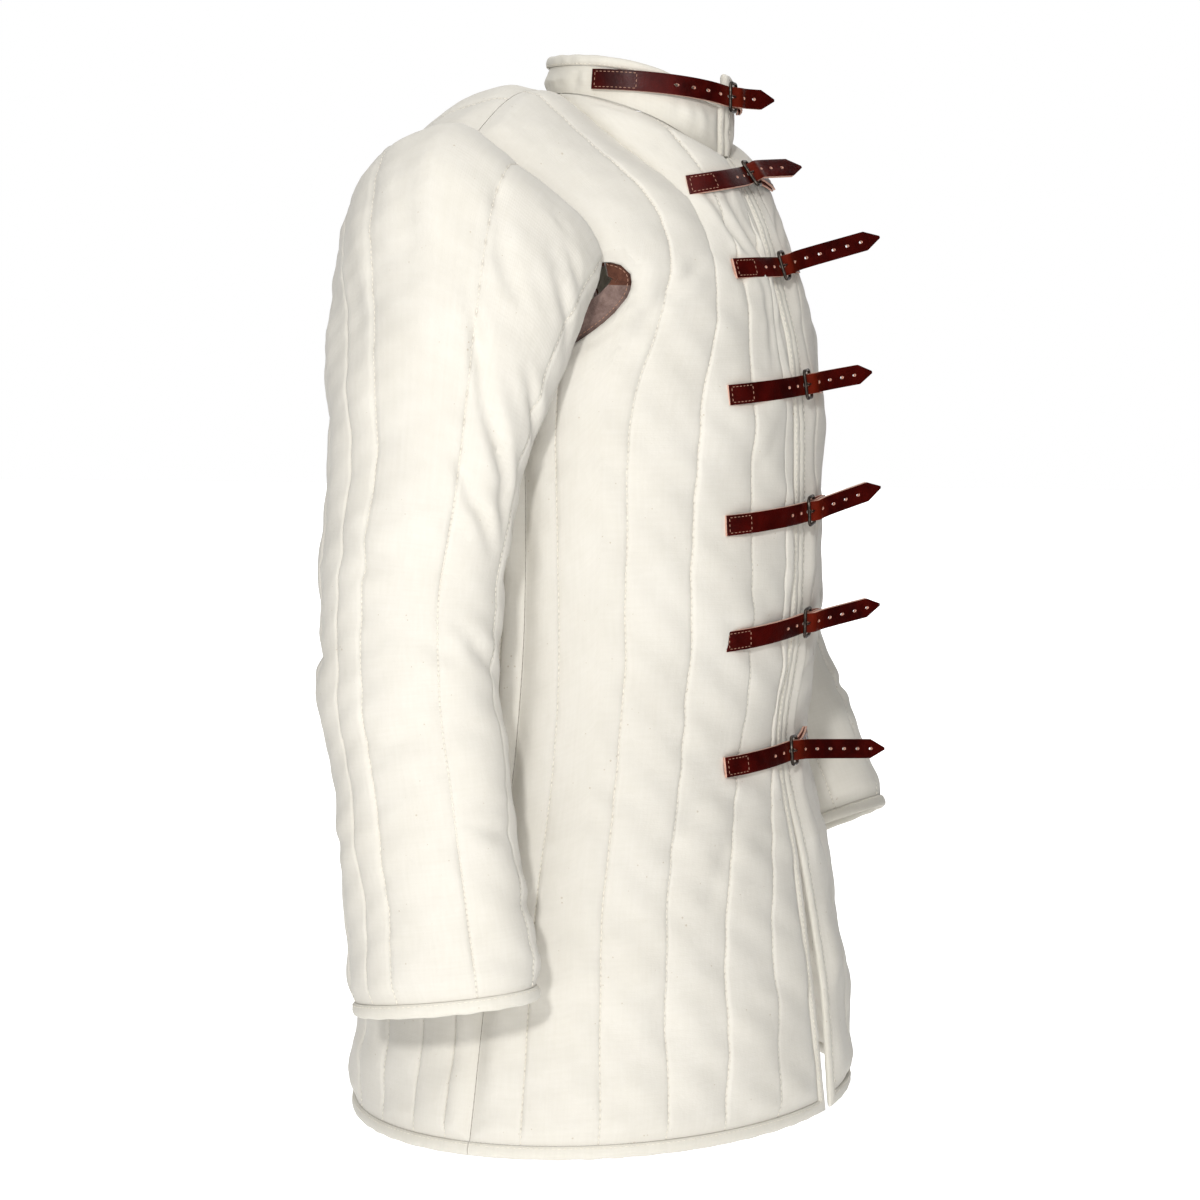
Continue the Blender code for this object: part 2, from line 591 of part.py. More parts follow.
def make_collar():
    half = np.array(COLLAR_ANGLES, float)
    around = np.concatenate([half, [180.0], 360.0 - half[::-1]])
    degrees = np.where(around > 180, around - 360, around)
    shares, fullness = np.array(COLLAR_SHARES).T
    grid = np.stack([collar_point(degrees, np.full_like(degrees, s)) for s in shares], axis=1)
    normal = collar_normal(degrees)[:, None]
    ends = np.where(np.abs(degrees) > COLLAR_END + 1, 1.0, 0.0)[:, None, None]
    outer = grid + normal * COLLAR_PUFF * fullness[None, :, None] * ends
    wall_mesh("collar", outer, grid - normal * COLLAR_WALL, "cotton")
    first = grid[0, :, :]
    top = grid[:, -1, :]
    up = np.array([0.0, 0.0, 1.0])
    front_out = unit(collar_point(np.array([COLLAR_END - 1.0]), np.array([0.5])) - collar_point(
        np.array([COLLAR_END]), np.array([0.5])))[0]
    point = np.concatenate([first[:-1], top, grid[-1, :-1][::-1]])
    outward = np.concatenate(
        [
            np.tile(front_out, (3, 1)),
            [front_out + up],
            np.tile(up, (len(top) - 2, 1)),
            [front_out * np.array([-1, 1, 1]) + up],
            np.tile(front_out * np.array([-1, 1, 1]), (3, 1)),
        ]
    )
    normals_here = np.concatenate([np.repeat(normal[0], 3, 0), normal[:, 0], np.repeat(normal[-1], 3, 0)])
    tube("collar_edge", roll_rings(point, outward, normals_here, COLLAR_ROLL, COLLAR_WALL * 0.8), "cotton_edge")


def armhole_path(back, samples=60):
    """Places and runs of the body's armhole edge, from the shoulder tip to the side seam."""
    turn = np.linspace(0, math.pi / 2, samples)
    if back:
        place = np.concatenate([np.full(samples, BACK_ARMHOLE), BACK_ARMHOLE * np.cos(turn)[1:]])
        run = np.concatenate([np.linspace(2, 1, samples), np.ones(samples - 1)])
        return place, run
    over = FRONT_ARMHOLE + (FRONT_VENT - FRONT_ARMHOLE) * np.sin(turn)[1:]
    under = FRONT_CHANNELS + (FRONT_VENT - FRONT_CHANNELS) * np.cos(turn)
    place = np.concatenate([np.full(samples, FRONT_ARMHOLE), over, under])
    run = np.concatenate([np.linspace(2, VENT_TOP[1], samples), vent_run(over), np.ones(samples)])
    return place, run


def sewn_length(back):
    """How far the sleeve is sewn in from the shoulder tip."""
    if back:
        return SEWN_BACK
    return lengths(panel_point(np.full(60, FRONT_ARMHOLE), np.linspace(2, VENT_TOP[1], 60), False))[-1]


def lengths(points):
    return np.concatenate([[0.0], np.cumsum(np.linalg.norm(np.diff(points, axis=0), axis=1))])


def sleeve_head(back, samples=120):
    """The sleeve's top edge from the shoulder tip to the underarm: sewn to the body, then hanging free."""
    place, run = armhole_path(back)
    body = panel_point(place, run, back)
    along = lengths(body)
    kept = body[along < sewn_length(back) + 1e-6]
    way = unit(FREE_WAYS[1 if back else 0])
    low = np.array(UNDERARM)
    reach = 0.4 * np.linalg.norm(low - kept[-1])
    sweep = np.array([0.0, -1.0 if back else 1.0, -0.1])
    free = bezier(kept[-1], kept[-1] + way * reach, low - unit(sweep) * reach, low, np.linspace(0, 1, samples))
    whole = np.concatenate([kept, free[1:]])
    even = np.linspace(0, lengths(whole)[-1], samples)
    return np.stack([np.interp(even, lengths(whole), whole[:, k]) for k in range(3)], axis=-1)


HEADS = (sleeve_head(False), sleeve_head(True))
SECTIONS = len(RIGHT_SLEEVE)


def head_point(degrees):
    """The sleeve's top edge at an angle round it, and the way the cloth leaves the armhole there."""
    turn = np.mod(np.asarray(degrees, float) - SLEEVE_TURN + 180, 360) - 180
    share = np.abs(turn) / 180 * (len(HEADS[0]) - 1)
    front, back = (
        np.stack([np.interp(share, np.arange(len(head)), head[:, k]) for k in range(3)], axis=-1) for head in HEADS
    )
    point = np.where((turn >= 0)[..., None], front, back)
    middle = (HEADS[0][0] + HEADS[0][-1]) / 2
    spread = LEAVE[0] - LEAVE[1] * np.sin(np.radians(turn))
    leave = unit(unit((point - middle) * (0, 1, 1)) * spread[..., None] + np.array([1.0, 0.0, -0.25]))
    return point, leave


def section_point(rows, degrees, section):
    """A point of the sleeve's lower part, from section 1 on."""
    knots = np.arange(1, len(rows) + 1)
    x, y, z, depth, width = (curve(knots, column(SLEEVE_COLUMNS, rows, c), section) for c in SLEEVE_COLUMNS)
    ahead = [
        curve(knots, column(SLEEVE_COLUMNS, rows, c), np.asarray(section) + 0.01)
        - curve(knots, column(SLEEVE_COLUMNS, rows, c), np.asarray(section) - 0.01)
        for c in "xyz"
    ]
    axis = unit(np.stack(ahead, axis=-1))
    across = unit(np.array([1.0, 0, 0]) - axis * axis[..., :1])
    fore = unit(np.cross(across, axis))
    fore = fore * np.where(fore[..., 1:2] > 0, -1.0, 1.0)
    angle = np.radians(degrees)
    return (
        np.stack(np.broadcast_arrays(x, y, z), axis=-1)
        + across * (width * np.cos(angle))[..., None]
        + fore * (depth * np.sin(angle))[..., None]
    )


def sleeve_point(rows, degrees, run):
    """A point of a sleeve's stitched level: run 0 is its top edge, 1 the first section, and so on to the cuff."""
    degrees, run = np.broadcast_arrays(np.asarray(degrees, float), np.asarray(run, float))
    low = section_point(rows, degrees, np.maximum(run, 1.0))
    first = section_point(rows, degrees, np.ones_like(run))
    second = section_point(rows, degrees, np.full_like(run, 1.05))
    head, leave = head_point(degrees)
    reach = 0.42 * np.linalg.norm(first - head, axis=-1, keepdims=True)
    high = bezier(
        head, head + leave * reach * 0.8, first - unit(second - first) * reach, first, np.clip(run, 0, 1)
    )
    return np.where((run < 1)[..., None], high, low)


def sleeve_grid(rows, places, runs):
    place, run = np.meshgrid(places, runs, indexing="ij")
    degrees = SLEEVE_FIRST_LINE + place * 360.0 / SLEEVE_CHANNELS

    def surface(u, v):
        return sleeve_point(rows, u, v)

    point = surface(degrees, run)
    normal = unit(
        np.cross(
            surface(degrees + 0.2, run) - surface(degrees - 0.2, run),
            surface(degrees, np.minimum(run + 0.01, SECTIONS)) - surface(degrees, np.maximum(run - 0.01, 0.0)),
        )
    )
    return place, run, point, normal


def make_sleeve(name, rows, side):
    places = channel_places(0.0, float(SLEEVE_CHANNELS), ())[:-1]
    place, run, point, normal = sleeve_grid(rows, places, SLEEVE_RUNS)
    _, leave = head_point(SLEEVE_FIRST_LINE + place[:, 0] * 360.0 / SLEEVE_CHANNELS)
    point[:, 0] += leave * SLEEVE_SEAM_SHIFT
    full = wave(place) * faded(run, (0.0, float(SECTIONS)), 0.05)
    outer = point + normal * (SLEEVE_PUFF * full)[..., None]
    wall_mesh(name, mirrored(outer, side), mirrored(point - normal * WALL, side), "cotton", wrap=True)
    around = np.arange(0, SLEEVE_CHANNELS, 0.5)
    place, run, point, normal = sleeve_grid(rows, around, np.array([SECTIONS - 0.02, SECTIONS]))
    outward = unit(point[:, 1] - point[:, 0])
    rings = roll_rings(point[:, 1], outward, normal[:, 1])
    tube(name.replace("sleeve", "cuff_edge"), mirrored(rings, side), "cotton_edge", closed=True)


def facing_rings(edge, outward, normal, lapped, lapped_normal, sink):
    """Sections of a facing that laps under the cloth's edge and reaches out of it, less towards its ends."""
    swell = (0.3 + 0.7 * np.sin(math.pi * np.linspace(0, 1, len(edge))) ** 0.5)[:, None]
    line = (
        (edge + (lapped - edge) * swell, edge * 0 + lapped_normal),
        (edge, normal),
        (edge + outward * FACING_REACH * swell, normal),
    )
    upper = [point - way * (WALL + sink) for point, way in line]
    lower = [point - way * (WALL + sink + FACING_THICK) for point, way in line]
    return np.stack([*upper, *lower[::-1]], axis=1)


def body_facing_edge(back, first, count):
    """The body's edge of the open armpit on one side, from where the sleeve's seam ends down to the side seam."""
    place, run = armhole_path(back)
    along = lengths(panel_point(place, run, back))
    wanted = np.linspace(first, along[-1] - FACING_END_GAP, count)
    place, run = np.interp(wanted, along, place), np.interp(wanted, along, run)
    point = panel_point(place, run, back)
    _, _, normal = panel_edge(back, place, run, (0, 0))
    tangent = unit(np.gradient(point, axis=0))
    outward = unit(np.cross(normal, tangent))
    flip = np.sign((outward * (np.array(ARMHOLE_MIDDLE) - point)).sum(-1, keepdims=True))
    return point, outward * flip, normal


def make_body_facing(name, side):
    front = body_facing_edge(False, sewn_length(False) + 0.002, 13)
    back = body_facing_edge(True, SEWN_BACK + 0.006, 9)
    point, outward, normal = (np.concatenate([f, b[::-1]]) for f, b in zip(front, back))
    lapped = point - outward * FACING_LAP - normal * FACING_DIP
    tube(name, mirrored(facing_rings(point, outward, normal, lapped, normal, FACING_SINK), side), "suede")


def make_sleeve_facing(name, rows, side):
    turns = []
    for back in (False, True):
        head = HEADS[1 if back else 0]
        turns.append(sewn_length(back) / lengths(head)[-1] * 180)
    first, last = (
        (degrees - SLEEVE_FIRST_LINE) * SLEEVE_CHANNELS / 360.0
        for degrees in (SLEEVE_TURN + turns[0] + 4, SLEEVE_TURN + 360 - turns[1] - 4)
    )
    places = channel_places(0.0, float(SLEEVE_CHANNELS) + 2.0, ())
    places = places[(places > first) & (places < last)]
    _, _, point, normal = sleeve_grid(rows, places, np.array([0.0, FACING_LAP_RUN]))
    outward = unit(point[:, 0] - point[:, 1])
    rings = facing_rings(point[:, 0], outward, normal[:, 0], point[:, 1], normal[:, 1], SLEEVE_FACING_SINK)
    tube(name, mirrored(rings, side), "suede")


def chest_point(across, height):
    """The stitched level of the chest at a distance from centre front and a height."""
    across, height = np.broadcast_arrays(np.asarray(across, float), np.asarray(height, float))
    places, runs = np.meshgrid(np.linspace(0, 4.3, 150), np.linspace(0.2, 1.99, 180), indexing="ij")
    known = panel_point(places, runs, False)
    flat_across, flat_height = across.ravel(), height.ravel()
    far = (known[None, ..., 0] - flat_across[:, None, None]) ** 2 + (known[None, ..., 2] - flat_height[:, None, None]) ** 2
    best = far.reshape(len(flat_across), -1).argmin(axis=1)
    place, run = places.ravel()[best], runs.ravel()[best]
    step = 1e-4
    for _ in range(5):
        here = panel_point(place, run, False)
        by_place = (panel_point(place + step, run, False) - here) / step
        by_run = (panel_point(place, run + step, False) - here) / step
        miss = np.stack([flat_across - here[:, 0], flat_height - here[:, 2]])
        square = by_place[:, 0] * by_run[:, 2] - by_run[:, 0] * by_place[:, 2]
        place = np.clip(place + (miss[0] * by_run[:, 2] - miss[1] * by_run[:, 0]) / square, 0.0, 4.6)
        run = np.clip(run + (miss[1] * by_place[:, 0] - miss[0] * by_place[:, 2]) / square, 0.0, 1.999)
    found = panel_point(place, run, False)
    return found.reshape(across.shape + (3,))


def strap_line(row):
    """Along a strap's line on the chest: its lengths from the buckle, the points, the way out and the way across."""
    level, drop, sewn, free, rise, _, _ = row
    across = np.linspace(-sewn * 1.05, 0.060, 120)
    height = level - drop * np.clip(-across / sewn, 0, 1) + rise * np.clip(across / free, 0, 1)
    nearest = np.maximum(np.abs(across), EDGE_REACH)
    point, above, below = (chest_point(nearest, height + step) for step in (0.0, 0.006, -0.006))
    upward = unit((above - below) * np.stack([np.sign(across), across * 0 + 1, across * 0 + 1], axis=-1))
    upward[np.abs(across) < EDGE_REACH, 0] = 0.0
    point[:, 0] = across
    return finish_line(point, upward)


def collar_line(row):
    level, drop, sewn, free, rise, _, _ = row
    degrees = np.linspace(-110, 60, 160)
    point = collar_point(degrees, np.full_like(degrees, 0.5))
    across = lengths(point * (1, 1, 0))
    across -= np.interp(0, degrees, across)
    point[:, 2] = level - drop * np.clip(-across / sewn, 0, 1) + rise * np.clip(across / free, 0, 1)
    kept = (across > -sewn * 1.06) & (across < 0.062)
    return finish_line(point[kept], np.tile([0.0, 0.0, 1.0], (kept.sum(), 1)))


def finish_line(point, upward):
    along = lengths(point)
    along -= np.interp(0, point[:, 0], along)
    tangent = unit(np.gradient(point, along, axis=0))
    level = unit(np.cross(tangent, upward))
    return along, point, level, unit(np.cross(level, tangent))


def across_strap(line, along):
    """The way across a strap at lengths along its line, held from the buckle on."""
    known, _, _, upward = line
    held = np.minimum(along, 0.0)
    return unit(np.stack([np.interp(held, known, upward[:, k]) for k in range(3)], axis=-1))


def off_chest(line, along, height):
    """A point that far along a strap's line, raised off the stitched level."""
    known, point, level, _ = line
    along = np.asarray(along, float)
    base = np.stack([np.interp(along, known, point[:, k]) for k in range(3)], axis=-1)
    out = unit(np.stack([np.interp(along, known, level[:, k]) for k in range(3)], axis=-1))
    return base + out * np.asarray(height)[..., None]


def ribbon(name, middle, across, thick, widths, look, cut=()):
    """A strap through its middle points, with a slot cut through its middle third where asked."""
    middle = np.asarray(middle)
    tangent = unit(np.gradient(middle, axis=0))
    across = unit(across - tangent * (across * tangent).sum(-1, keepdims=True))
    face = np.cross(across, tangent)
    widths = np.asarray(widths)
    rows = []
    for share in (-1.0, -SLOT_SHARE, SLOT_SHARE, 1.0):
        rows.append(middle + across * (widths * share / 2)[:, None])
    grid = np.stack(rows, axis=1)
    upper, lower = (grid + face[:, None] * thick / 2 * sign for sign in (1, -1))
    return wall_with_slots(name, upper, lower, look, cut)


def wall_with_slots(name, outer, inner, look, cut):
    """A closed strip from two grids of points, without the middle cells whose columns are in cut."""
    columns, rows = outer.shape[:2]
    index = np.arange(columns * rows).reshape(columns, rows)
    count = columns * rows
    faces = [
        (int(index[i, j]), int(index[i + 1, j]), int(index[i + 1, j + 1]), int(index[i, j + 1]))
        for i in range(columns - 1)
        for j in range(rows - 1)
        if not (j == 1 and i in cut)
    ]
    sides = {(a, b) for f in faces for a, b in zip(f, f[1:] + f[:1])}
    rims = [(b, a, a + count, b + count) for a, b in sides if (b, a) not in sides]
    inside = [tuple(c + count for c in reversed(f)) for f in faces]
    points = np.concatenate([outer.reshape(-1, 3), inner.reshape(-1, 3)])
    return solid(name, points, faces + inside + sorted(rims), look)


def strap_heights(lift):
    """Heights over the stitched level: under the outer bar, the two bars, and over the folded chape."""
    outer_bar = lift + STRAP_THICK + UNDER + BAR
    hinge_bar = lift + CHAPE_THICK + UNDER + BAR
    over_fold = hinge_bar + FOLD_INNER + CHAPE_THICK + UNDER
    return outer_bar, hinge_bar, over_fold


def make_strap(number, row, line, lift):
    """A strap from its sewn end over the buckle to its free point, slotted for the tongue."""
    _, _, sewn, free, rise, leave, _ = row
    _, _, over_fold = strap_heights(lift)
    half = STRAP_THICK / 2
    base = np.linspace(-sewn, -0.016, 12 if number == 1 else 8)
    spans, climb = np.array(STRAP_OVER_BUCKLE).T
    heights = lift + half + (over_fold - lift) * climb
    low = off_chest(line, base, np.full_like(base, lift + half))
    mid = off_chest(line, spans, heights)
    angle = math.radians(leave)
    away = unit(np.array([math.cos(angle), -math.sin(angle), rise / free]))
    start = spans[-1]
    tail = np.array([0.008, 0.024, free - TIP_LENGTH - start, free - TIP_LENGTH * 0.45 - start, free - start])
    bend = unit(mid[-1] - mid[-2])
    out = [mid[-1]]
    for k, reach in enumerate(tail):
        last = tail[k - 1] if k else 0.0
        out.append(out[-1] + unit(bend * max(0.0, 0.5 - k * 0.4) + away) * (reach - last))
    middle = np.concatenate([low, mid, np.array(out[1:])])
    across = across_strap(line, np.concatenate([base, spans, np.zeros(len(middle) - len(base) - len(spans))]))
    widths = np.full(len(middle), STRAP_WIDTH)
    widths[-2:] = STRAP_WIDTH * np.array(TIP_WIDTHS)
    slot = len(low) + 2
    ribbon(f"strap_{number}", middle, across, STRAP_THICK, widths, "strap_leather", cut=(slot,))


def make_chape(number, line, lift):
    """The short strap sewn to the other front, folded round the buckle's hinge bar."""
    _, hinge_bar, _ = strap_heights(lift)
    half = CHAPE_THICK / 2
    hinge, end = BUCKLE_HALF_LENGTH, CHAPE_LENGTH
    lower = np.array([end, 0.030, 0.018, hinge + 0.0032])
    turn = np.radians(np.array([-90.0, -135.0, 180.0, 135.0, 90.0]))
    radius = FOLD_INNER + half
    fold_along = hinge + radius * np.cos(turn)
    fold_height = hinge_bar + radius * np.sin(turn)
    upper = np.array([hinge + 0.0034, 0.018, 0.030, end])
    upper_height = np.interp(upper, (hinge, 0.030, end), (hinge_bar + radius, lift + half + 0.0030, lift + half + 0.0018))
    along = np.concatenate([lower, fold_along, upper])
    height = np.concatenate([np.full(4, lift + half), fold_height, upper_height])
    middle = off_chest(line, along, height)
    across = across_strap(line, along)
    widths = np.full(len(middle), STRAP_WIDTH)
    ribbon(f"chape_{number}", middle, across, CHAPE_THICK, widths, "strap_leather", cut=(3, 4, 5, 6, 7, 8))


def make_buckle(number, line, lift):
    """The wire frame, and the tongue that lies over its outer bar."""
    outer_bar, hinge_bar, _ = strap_heights(lift)
    long, wide = BUCKLE_HALF_LENGTH, BUCKLE_HALF_WIDTH
    corners = (
        (-long, wide - BUCKLE_CORNER),
        (-long + BUCKLE_CORNER, wide),
        (long - BUCKLE_CORNER, wide),
        (long, wide - BUCKLE_CORNER),
        (long, -wide + BUCKLE_CORNER),
        (long - BUCKLE_CORNER, -wide),
        (-long + BUCKLE_CORNER, -wide),
        (-long, -wide + BUCKLE_CORNER),
    )
    along, width = np.array(corners).T
    height = np.interp(along, (-long, long), (outer_bar, hinge_bar))
    middle = off_chest(line, along, height) + across_strap(line, along * 0) * width[:, None]
    tube(f"buckle_frame_{number}", wire_rings(middle, BAR, 6, True), "iron", closed=True)
    root = off_chest(line, np.array([long - BAR - UNDER * 1.5]), np.array([hinge_bar + 0.0002]))
    tip = off_chest(line, np.array([-long - 0.0012]), np.array([outer_bar + BAR + TONGUE + UNDER]))
    reach = np.array([0.0, 0.35, 0.7, 1.0])[:, None]
    tongue = root + (tip - root) * reach
    tube(f"buckle_tongue_{number}", wire_rings(tongue, TONGUE, 6, False), "iron")


def wire_rings(middle, radius, sides, closed):
    """Rings of a round wire through its middle points."""
    if closed:
        tangent = unit(np.roll(middle, -1, axis=0) - np.roll(middle, 1, axis=0))
    else:
        tangent = unit(np.gradient(middle, axis=0))
    rings = []
    reference = unit(np.cross(middle[1] - middle[0], middle[2] - middle[1]) + np.array([0.0, 1e-9, 0.0]))
    for point, way in zip(middle, tangent):
        first = unit(reference - way * (reference * way).sum())
        second = np.cross(way, first)
        angles = np.arange(sides) * 2 * math.pi / sides + math.pi / sides
        rings.append([point + (first * math.cos(a) + second * math.sin(a)) * radius for a in angles])
    return np.array(rings)


def main():
    clear_scene()
    for hand, side, rows in (("right", -1, RIGHT_SLEEVE), ("left", 1, LEFT_SLEEVE)):
        make_front(f"front_{hand}", side)
        make_front_roll(f"front_edge_{hand}", side)
        make_sleeve(f"sleeve_{hand}", rows, side)
        make_body_facing(f"armhole_facing_{hand}", side)
        make_sleeve_facing(f"sleeve_facing_{hand}", rows, side)
    make_back()
    make_back_roll()
    make_collar()
    strap_rows = (COLLAR_STRAP, *STRAPS)
    for number, row in enumerate(strap_rows, start=1):
        on_collar = number == 1
        line = collar_line(row) if on_collar else strap_line(row)
        lift = STRAP_LIFT - row[STRAP_COLUMNS.index("pulled")] - (PUFF - COLLAR_PUFF if on_collar else 0.0)
        make_strap(number, row, line, lift)
        make_chape(number, line, lift)
        make_buckle(number, line, lift)


if __name__ == "__main__":
    main()
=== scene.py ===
"""The looks of a gambeson, a quilted coat of unbleached cotton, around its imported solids.

The frame is in metres with +Z up, and the wearer faces -Y. The panels are laid out as the solids are, from the
same tables, with the quilting, the creases, the stitches and the finish of each material added.
"""

import math

import bmesh
import bpy
import numpy as np
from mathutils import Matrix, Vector


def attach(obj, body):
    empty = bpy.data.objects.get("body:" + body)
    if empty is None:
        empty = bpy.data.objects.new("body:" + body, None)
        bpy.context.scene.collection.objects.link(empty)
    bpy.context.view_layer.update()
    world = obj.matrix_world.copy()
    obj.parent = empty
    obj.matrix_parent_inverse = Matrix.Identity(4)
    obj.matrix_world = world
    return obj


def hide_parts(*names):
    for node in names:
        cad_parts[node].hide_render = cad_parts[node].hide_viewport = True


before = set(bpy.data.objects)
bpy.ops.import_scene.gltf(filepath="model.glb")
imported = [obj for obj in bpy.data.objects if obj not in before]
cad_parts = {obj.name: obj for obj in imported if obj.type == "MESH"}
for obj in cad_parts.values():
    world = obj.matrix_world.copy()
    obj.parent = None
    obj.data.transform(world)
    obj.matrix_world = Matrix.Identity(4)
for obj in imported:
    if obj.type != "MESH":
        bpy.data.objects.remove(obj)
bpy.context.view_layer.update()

# Fine layout of the cloth
CHANNEL_COLUMNS = (0.0, 0.03, 0.07, 0.13, 0.21, 0.30, 0.40, 0.5, 0.60, 0.70, 0.79, 0.87, 0.93, 0.97)
EXTRA_COLUMNS = (-0.045, -0.02, 0.0, 0.02, 0.045)
BACK_COLUMNS = (0.0, 0.04, 0.10, 0.19, 0.30, 0.43, 0.57, 0.70, 0.81, 0.90, 0.96)
LOW_RUNS = np.linspace(0.0, 1.0, 215)
HIGH_SHARES = np.linspace(0.0, 1.0, 62)
SLEEVE_RUNS = np.concatenate([np.linspace(0.0, 1.0, 96), np.linspace(1.0, 6.0, 136)[1:]])
COLLAR_STEP = 1.6  # degrees
COLLAR_ROWS = 26
CHANNEL_SPAN = 0.047  # usual distance between two stitched lines
ROLL_SECTION = (
    # share of the roll's width, then height from the middle of the wall, in walls
    (0.0, -0.45),
    (0.0, 0.45),
    (0.06, 0.70),
    (0.16, 0.84),
    (0.32, 1.00),
    (0.50, 1.02),
    (0.68, 0.93),
    (0.84, 0.70),
    (0.95, 0.36),
    (1.0, 0.0),
    (0.95, -0.36),
    (0.84, -0.70),
    (0.68, -0.93),
    (0.50, -1.0),
    (0.32, -0.98),
    (0.14, -0.78),
)

SLEEVE_EXTRA_LINE = 6.60  # a stitched line between two of the sleeve's even ones, behind its outer side

# Relief of the cloth
SEAM_SOFT = 0.0085  # how far from a seam the padding takes to swell
SEAM_DIP = 0.0009  # how far the cloth is drawn in at a seam, and over what width
SEAM_DIP_WIDTH = 0.0022
CHANNEL_FLATNESS = 0.36
SEAM_FULL = 0.5  # how full the cloth stays on a stitched line
PUCKER = 0.00042
PUCKER_REACH = 0.0055
UNEVEN = 0.0011
SUEDE_JOIN = -0.152  # the height at which the facing's two pieces meet

# How the padding's fullness swings along a channel: share, radians a metre, shift from channel to channel
FRONT_SWING = (0.10, 17, 2.1)
BACK_SWING = (0.10, 15, 1.7)
SLEEVE_SWING = (0.12, 21, 2.3)
RUN_SPAN = 0.40  # length of cloth in one run of a panel, for its beats
RUN_CLOTH = 0.41  # the same for its weave
SLEEVE_RUN_SPAN = 0.075
UNEVEN_WAYS = (
    # wave length in metres along x, y and z, phase, share
    (0.31, 0.23, 0.11, 0.4, 1.0),
    (0.13, -0.21, 0.074, 2.1, 0.7),
    (-0.083, 0.12, 0.19, 4.4, 0.6),
    (0.061, 0.057, -0.047, 1.3, 0.4),
    (-0.039, 0.043, 0.031, 5.2, 0.28),
)
PULL_LENGTHS = (0.0172, 0.067, 0.121)  # of the stitches' pull, and of its drift and swell

# Thread
THREAD_SPACING = 0.0013  # a canvas thread is about 0.6 mm, drawn this coarse so that the weave shows
STITCH_PITCH = 0.0042
STITCH_LENGTH = 0.0034
THREAD = 0.00040

# Leather
FACING_SHOWN = 0.021  # how far the body's facing reaches into the open armpit
TIP_END = 0.12  # of a strap's width, at the end of its point
STRIP_STEP = 0.0016
HOLE_PITCH = 0.0150
HOLE_LONG = 0.0021
HOLE_WIDE = 0.0012
EDGE_MARGIN = 0.0019
LEATHER_PITCH = 0.0031
# How far the chapes' sewn ends stand off the straps' lines, from the collar down
CHAPE_SLANTS = (-0.003, -0.0085, -0.006, -0.004, -0.005, -0.005, 0.010)
BASE_SINK = 0.0024  # how deep a strap's sewn end is pressed in, fading out over its reach
BASE_REACH = 0.030
EASED_EDGE = 0.00045
ROUTE_STEP = 0.0004
ROUTE_ROUNDING = 0.0016
WIRE_CORNER = 0.0026

